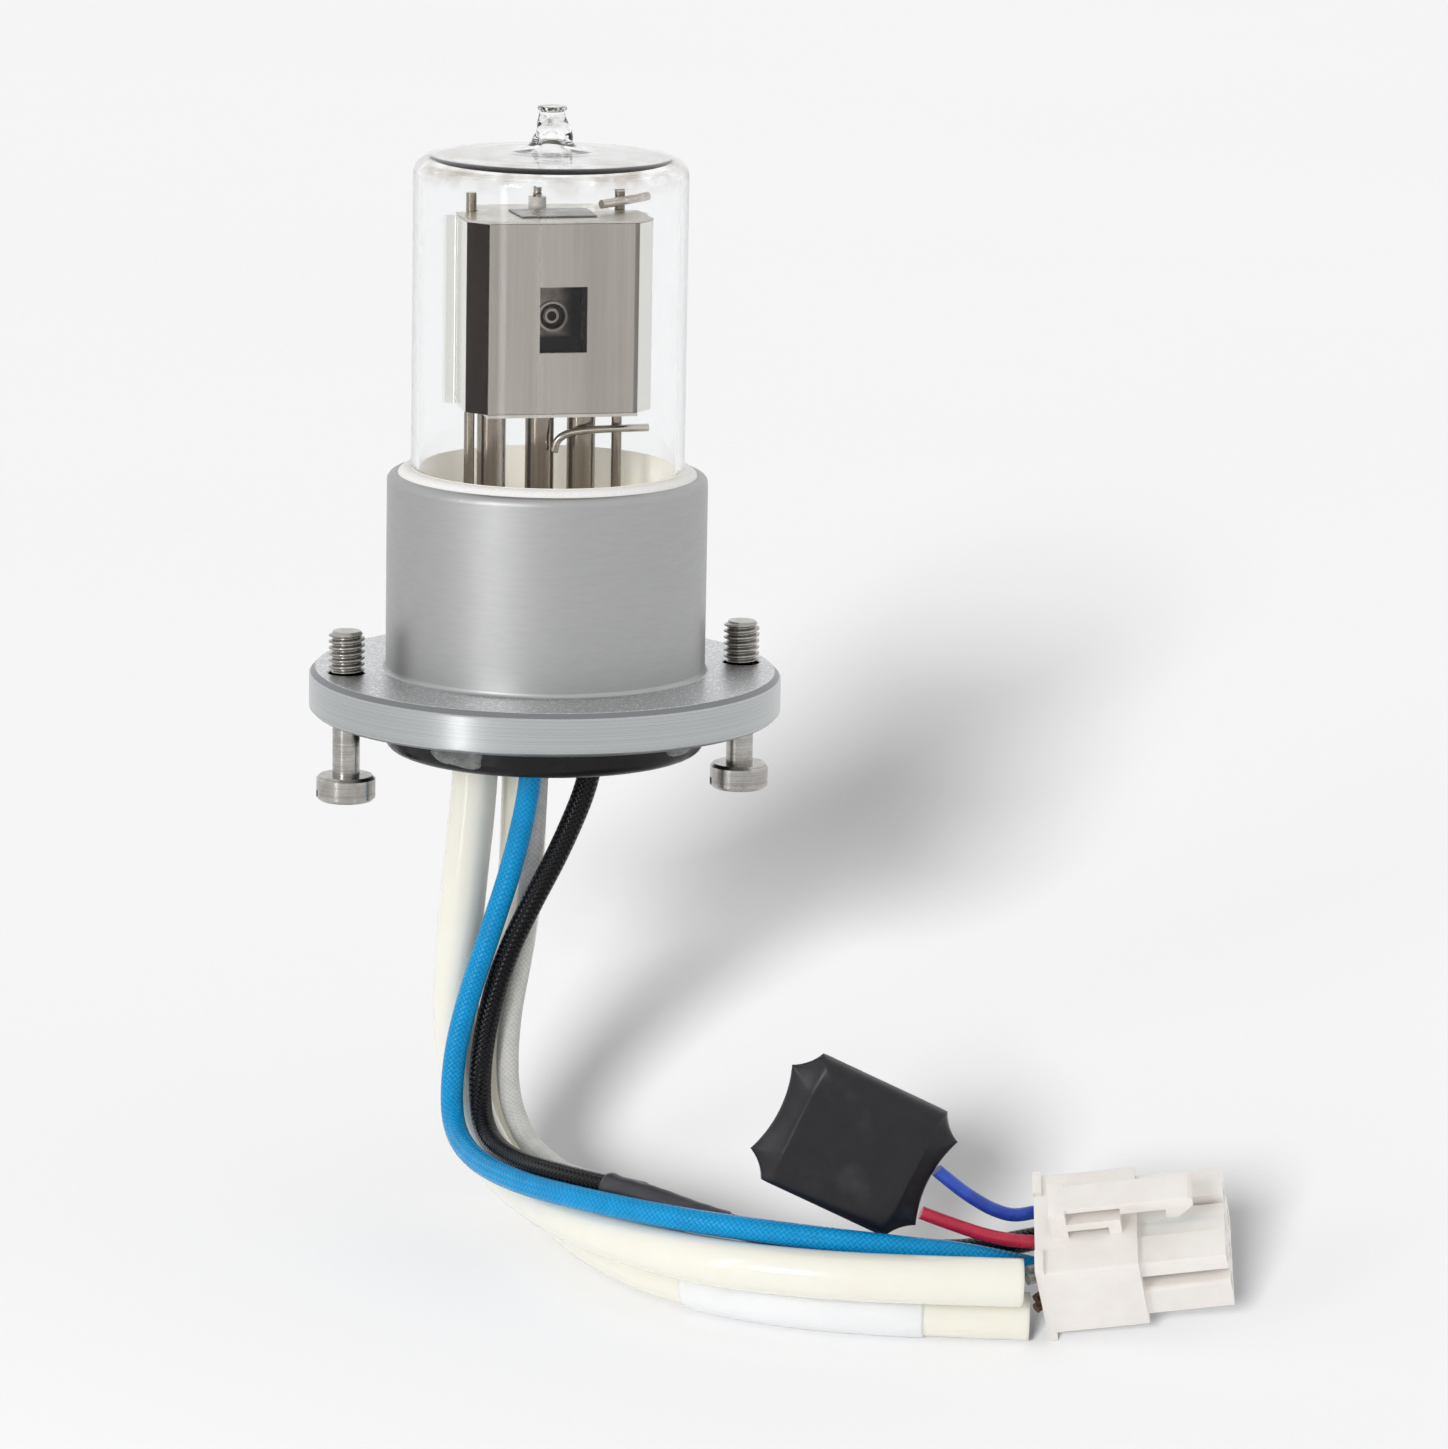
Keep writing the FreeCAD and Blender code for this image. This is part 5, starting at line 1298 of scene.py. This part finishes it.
# The pale ceramic insulator deep in the box is painted dark brown: painted shade.
dress(plain_finish("ceramic_painted_shade", paint(50, 34, 30), paint(36, 24, 21), 0.5, scale=0.6,
                   depth=0.02), "anode_insulator")
dress(plain_finish("translucent_alumina", paint(206, 203, 200), paint(188, 184, 181), 0.35,
                   scale=2.0, Subsurface_Weight=0.4, Subsurface_Scale=0.001), "anode_sleeve")

# %% [markdown]
# Pins, tubes and stiff wires are drawn nickel: bright, with long fine lines along their length
# and a slightly warm tint. The pattern is stretched a lot in height for the upright ones.

# %% Drawn nickel
drawn_upright = plain_finish("drawn_nickel", paint(152, 142, 130), paint(120, 110, 98), 0.16,
                             0.06, scale=0.7, stretch=(1, 1, 80), metallic=1.0, depth=0.0008)
dress(drawn_upright, "lead_tube_left", "lead_tube_mid", "lead_tube_right", "lead_pin_left",
      "lead_pin_mid", "lead_pin_right", "support_pin_left", "support_pin_right")
dress(plain_finish("drawn_wire", paint(205, 200, 193), paint(176, 169, 161), 0.16, 0.08,
                   scale=2.0, stretch=(30, 1, 1), metallic=1.0, depth=0.001),
      strap, "cross_wire")
dress(plain_finish("anode_wire_steel", paint(168, 162, 154), paint(130, 123, 115), 0.25,
                   metallic=1.0), "anode_wire", *strands)
dress(plain_finish("tinned_copper", paint(205, 204, 200), paint(180, 178, 173), 0.3, scale=1.5,
                   metallic=1.0), "pin_crimps", "connector_terminals")

# %% [markdown]
# Around the metal there are a few cast and moulded materials. The cement is chalk white and a
# little gritty. The cap is black resin with a soft shine. The plug is natural nylon, warm white
# and slightly see-through at its thin edges, which subsurface scattering gives.

# %% Cement, resin and nylon
dress(plain_finish("white_cement", paint(250, 249, 247), paint(243, 241, 237), 0.75, scale=3.0,
                   depth=0.05), "cement_ring")
dress(plain_finish("stem_filling", paint(240, 237, 230), paint(226, 222, 212), 0.7, scale=1.5,
                   depth=0.04), "base_potting")
dress(plain_finish("cast_black_resin", paint(16, 16, 17), paint(10, 10, 11), 0.3, 0.12,
                   scale=0.5, depth=0.01, Specular_IOR_Level=0.25), "potting_cap")
nylon = plain_finish("natural_nylon", paint(240, 236, 231), paint(236, 231, 226), 0.42, 0.06,
                     scale=0.25, depth=0.005, Subsurface_Weight=0.15, Subsurface_Scale=0.0012)
dress(nylon, connector)
sealant = plain_finish("clear_sealant", paint(158, 162, 158), paint(120, 124, 120), 0.2, 0.1,
                       scale=0.8, depth=0.03, Alpha=0.6)
dress(sealant, *dabs)

# %% [markdown]
# The leads have three kinds of cover. Extruded sleeving is cream and semi-gloss. Braid is woven
# from fine yarn: its pattern is worked out from the lead's own UV map, so that it follows every
# bend, with painted shade in the gaps between the strands and small painted glints on top of
# them. Shrunk film is dark grey with a soft shine.

# %% Lead covers
def braid_finish(name, yarn, gap_shade_paint, glint_paint, roughness):
    """Braid on the along map: yarn, painted shade in gaps, painted glints on strands, woven height.
    """
    material, tree, shader = start_finish(name, 0.0, Specular_IOR_Level=0.16)
    way = make(tree, "UVMap", uv_map="along").outputs[0]
    weave = use_group(tree, BRAID, {"Point": way, "Carriers": 12.0, "Pitch": 0.62})
    varied = vary(tree, millimetres(tree), 0.4, yarn,
                  tuple(0.86 * part for part in yarn[:3]) + (1.0,), roughness, 0.1)
    # painted shade in the gaps between the strands
    colour = blend_colour(tree, maths(tree, "MULTIPLY", weave["Gap"], 0.8), varied["Color"], gap_shade_paint)
    # painted glints on top of the strands
    colour = blend_colour(tree, maths(tree, "MULTIPLY", weave["Glint"], 0.12), colour, glint_paint)
    feed(tree, shader, colour, varied["Roughness"], weave["Height"], 0.06, 0.8)
    return material


# Each braid: yarn, painted gap shade, painted glint colour, roughness.
BRAIDS = {
    "blue_lead": ("blue_braid", paint(0, 152, 214), paint(0, 112, 178), paint(90, 200, 240), 0.2),
    "black_lead": ("black_braid", paint(12, 12, 14), paint(5, 5, 6), paint(90, 90, 94), 0.2),
    "white_lead": ("white_braid", paint(226, 225, 220), paint(190, 188, 180), paint(250, 250, 250),
                   0.5),
}
for lead_name, (slot_name, yarn, gap_shade_paint, glint_paint, gloss) in BRAIDS.items():
    dress(braid_finish(slot_name, yarn, gap_shade_paint, glint_paint, gloss), leads[lead_name])

sleeving = plain_finish("cream_sleeving", paint(240, 238, 226), paint(238, 235, 222), 0.16, 0.02,
                        scale=0.15, depth=0.002, Subsurface_Weight=0.1,
                        Subsurface_Scale=0.001, Coat_Weight=0.6, Coat_Roughness=0.08)
for lead_name in CREAMS:
    dress(sleeving, leads[lead_name])
dress(plain_finish("marker_white", paint(240, 241, 242), paint(236, 237, 238), 0.45, scale=0.2,
                   depth=0.002), marker)
film = plain_finish("shrunk_film", paint(58, 56, 62), paint(46, 44, 50), 0.4, 0.16, scale=0.35,
                    depth=0.05)
dress(film, splice, splice_tail)
dress(plain_finish("clear_insulation", paint(214, 216, 214), paint(196, 198, 196), 0.12,
                   Transmission_Weight=0.5), "sleeve_a_wires")
dress(plain_finish("brown_insulation", paint(122, 84, 60), paint(96, 62, 42), 0.25),
      "sleeve_b_wires")
dress(plain_finish("blue_insulation", paint(38, 78, 186), paint(26, 60, 160), 0.28, scale=0.5),
      "module_lead_blue")
dress(plain_finish("red_insulation", paint(196, 30, 66), paint(170, 20, 52), 0.28, scale=0.5),
      "module_lead_red")

# %% [markdown]
# The pouch has the same film, but a bigger face of it: the hand has left pale smudges on it and
# there are fine pleats towards its ends. The smudges are a soft, large noise that lifts the
# colour and the roughness.

# %% Module film
def pouch_finish():
    """Charcoal film with pale smudges and a fine orange-peel height."""
    material, tree, shader = start_finish("module_film", 0.0, Specular_IOR_Level=0.35)
    point = millimetres(tree)
    varied = vary(tree, point, 0.5, paint(25, 24, 29), paint(20, 19, 24), 0.36, 0.08)
    cloud = make(tree, "TexNoise", {"Vector": point, "Scale": 0.16, "Detail": 4.0}).outputs[0]
    smudge = step_mask(tree, cloud, 0.58, 0.8)
    colour = blend_colour(tree, maths(tree, "MULTIPLY", smudge, 0.25), varied["Color"],
                          paint(84, 83, 88))
    feed(tree, shader, colour, varied["Roughness"], varied["Height"], 0.03, 0.5)
    return material


dress(pouch_finish(), pouch)
print("finishes:", len(bpy.data.materials))

# %% [markdown]
# The lamp stands in front of a white ground. The world is a soft, even light, and it is pure
# white to the camera, to gloss and through glass, so that metal and silica show a white room.
# One broad, low sun from the left of the front models the forms. The long shadow needs more
# light on the floor than on the lamp: a second sun, more from the front, lights the floor only.
# A narrow upright soft box near the left front shows as one thin line on the metal and glass.

# %% Floor, world and suns
FLOOR_REACH = 9.0
MAIN_TOWARDS = Vector((-0.7, -0.68, 0.3)).normalized()
FLOOR_TOWARDS = Vector((-1.33, -2.98, 0.98)).normalized()
WORLD_LIGHT = 0.78
MAIN_SUN = 0.7
STRIP_PLACE = Vector((-0.165, -0.135, 0.03))
STRIP_SIZE = (0.02, 0.17)
STRIP_POWER = 0.045
FLOOR_SUN = 11.0
MAIN_WIDTH = math.radians(15)
FLOOR_WIDTH = math.radians(9)
FLOOR_GREY = 0.497
FLOOR_TINT = 0.004


def pale_floor():
    """Flat ground at the lowest point of the model, far larger than the view."""
    low = cad_box[0][2]
    edge = FLOOR_REACH
    mesh = bpy.data.meshes.new("floor")
    mesh.from_pydata([(-edge, -edge, low), (edge, -edge, low), (edge, edge, low),
                      (-edge, edge, low)], [], [(0, 1, 2, 3)])
    ground = bpy.data.objects.new("floor", mesh)
    material, tree, shader = start_finish("pale_floor")
    varied = vary(tree, make(tree, "TexCoord").outputs["Object"], 2.0,
                  (FLOOR_GREY, FLOOR_GREY, FLOOR_GREY + FLOOR_TINT, 1),
                  (FLOOR_GREY - FLOOR_TINT, FLOOR_GREY - FLOOR_TINT, FLOOR_GREY, 1), 0.9, 0.02)
    feed(tree, shader, varied["Color"], varied["Roughness"])
    shader.inputs["Specular IOR Level"].default_value = 0.0
    mesh.materials.append(material)
    return ground


def sun(name, strength, towards, width):
    """Sun lamp whose light comes from one direction, as wide as a big soft box."""
    data = bpy.data.lights.new(name, "SUN")
    data.energy = strength
    data.angle = width
    lamp = bpy.data.objects.new(name, data)
    lamp.rotation_euler = towards.to_track_quat("Z", "Y").to_euler()
    bpy.context.scene.collection.objects.link(lamp)
    return lamp


def strip_light():
    """Narrow upright soft box near the left front: gloss shows it as one thin upright line."""
    data = bpy.data.lights.new("strip_box", "AREA")
    data.shape = "RECTANGLE"
    data.size, data.size_y = STRIP_SIZE
    data.energy = STRIP_POWER
    lamp = bpy.data.objects.new("strip_box", data)
    lamp.location = STRIP_PLACE
    level = Vector((STRIP_PLACE.x, STRIP_PLACE.y, 0))
    lamp.rotation_euler = level.to_track_quat("Z", "Y").to_euler()
    lamp.visible_camera = False
    bpy.context.scene.collection.objects.link(lamp)


floor = pale_floor()
strip_light()
ground_only = bpy.data.collections.new("ground")
bpy.context.scene.collection.children.link(ground_only)
ground_only.objects.link(floor)
sun("main_sun", MAIN_SUN, MAIN_TOWARDS, MAIN_WIDTH)
floor_sun = sun("floor_sun", FLOOR_SUN, FLOOR_TOWARDS, FLOOR_WIDTH)
floor_sun.light_linking.receiver_collection = ground_only

world = bpy.data.worlds.new("white_room")
bpy.context.scene.world = world
world.use_nodes = True
sky = world.node_tree
seen = make(sky, "LightPath").outputs
white = maths(sky, "MAXIMUM", seen["Is Camera Ray"],
              maths(sky, "MAXIMUM", seen["Is Glossy Ray"], seen["Is Transmission Ray"]))
strength = maths(sky, "MULTIPLY_ADD", white, 1.0 - WORLD_LIGHT, WORLD_LIGHT)
back = sky.nodes["Background"]
back.inputs["Color"].default_value = (1, 1, 1, 1)
sky.links.new(strength, back.inputs["Strength"])
bpy.context.scene.view_settings.view_transform = "Standard"
print("floor at %.4f m" % cad_box[0][2])
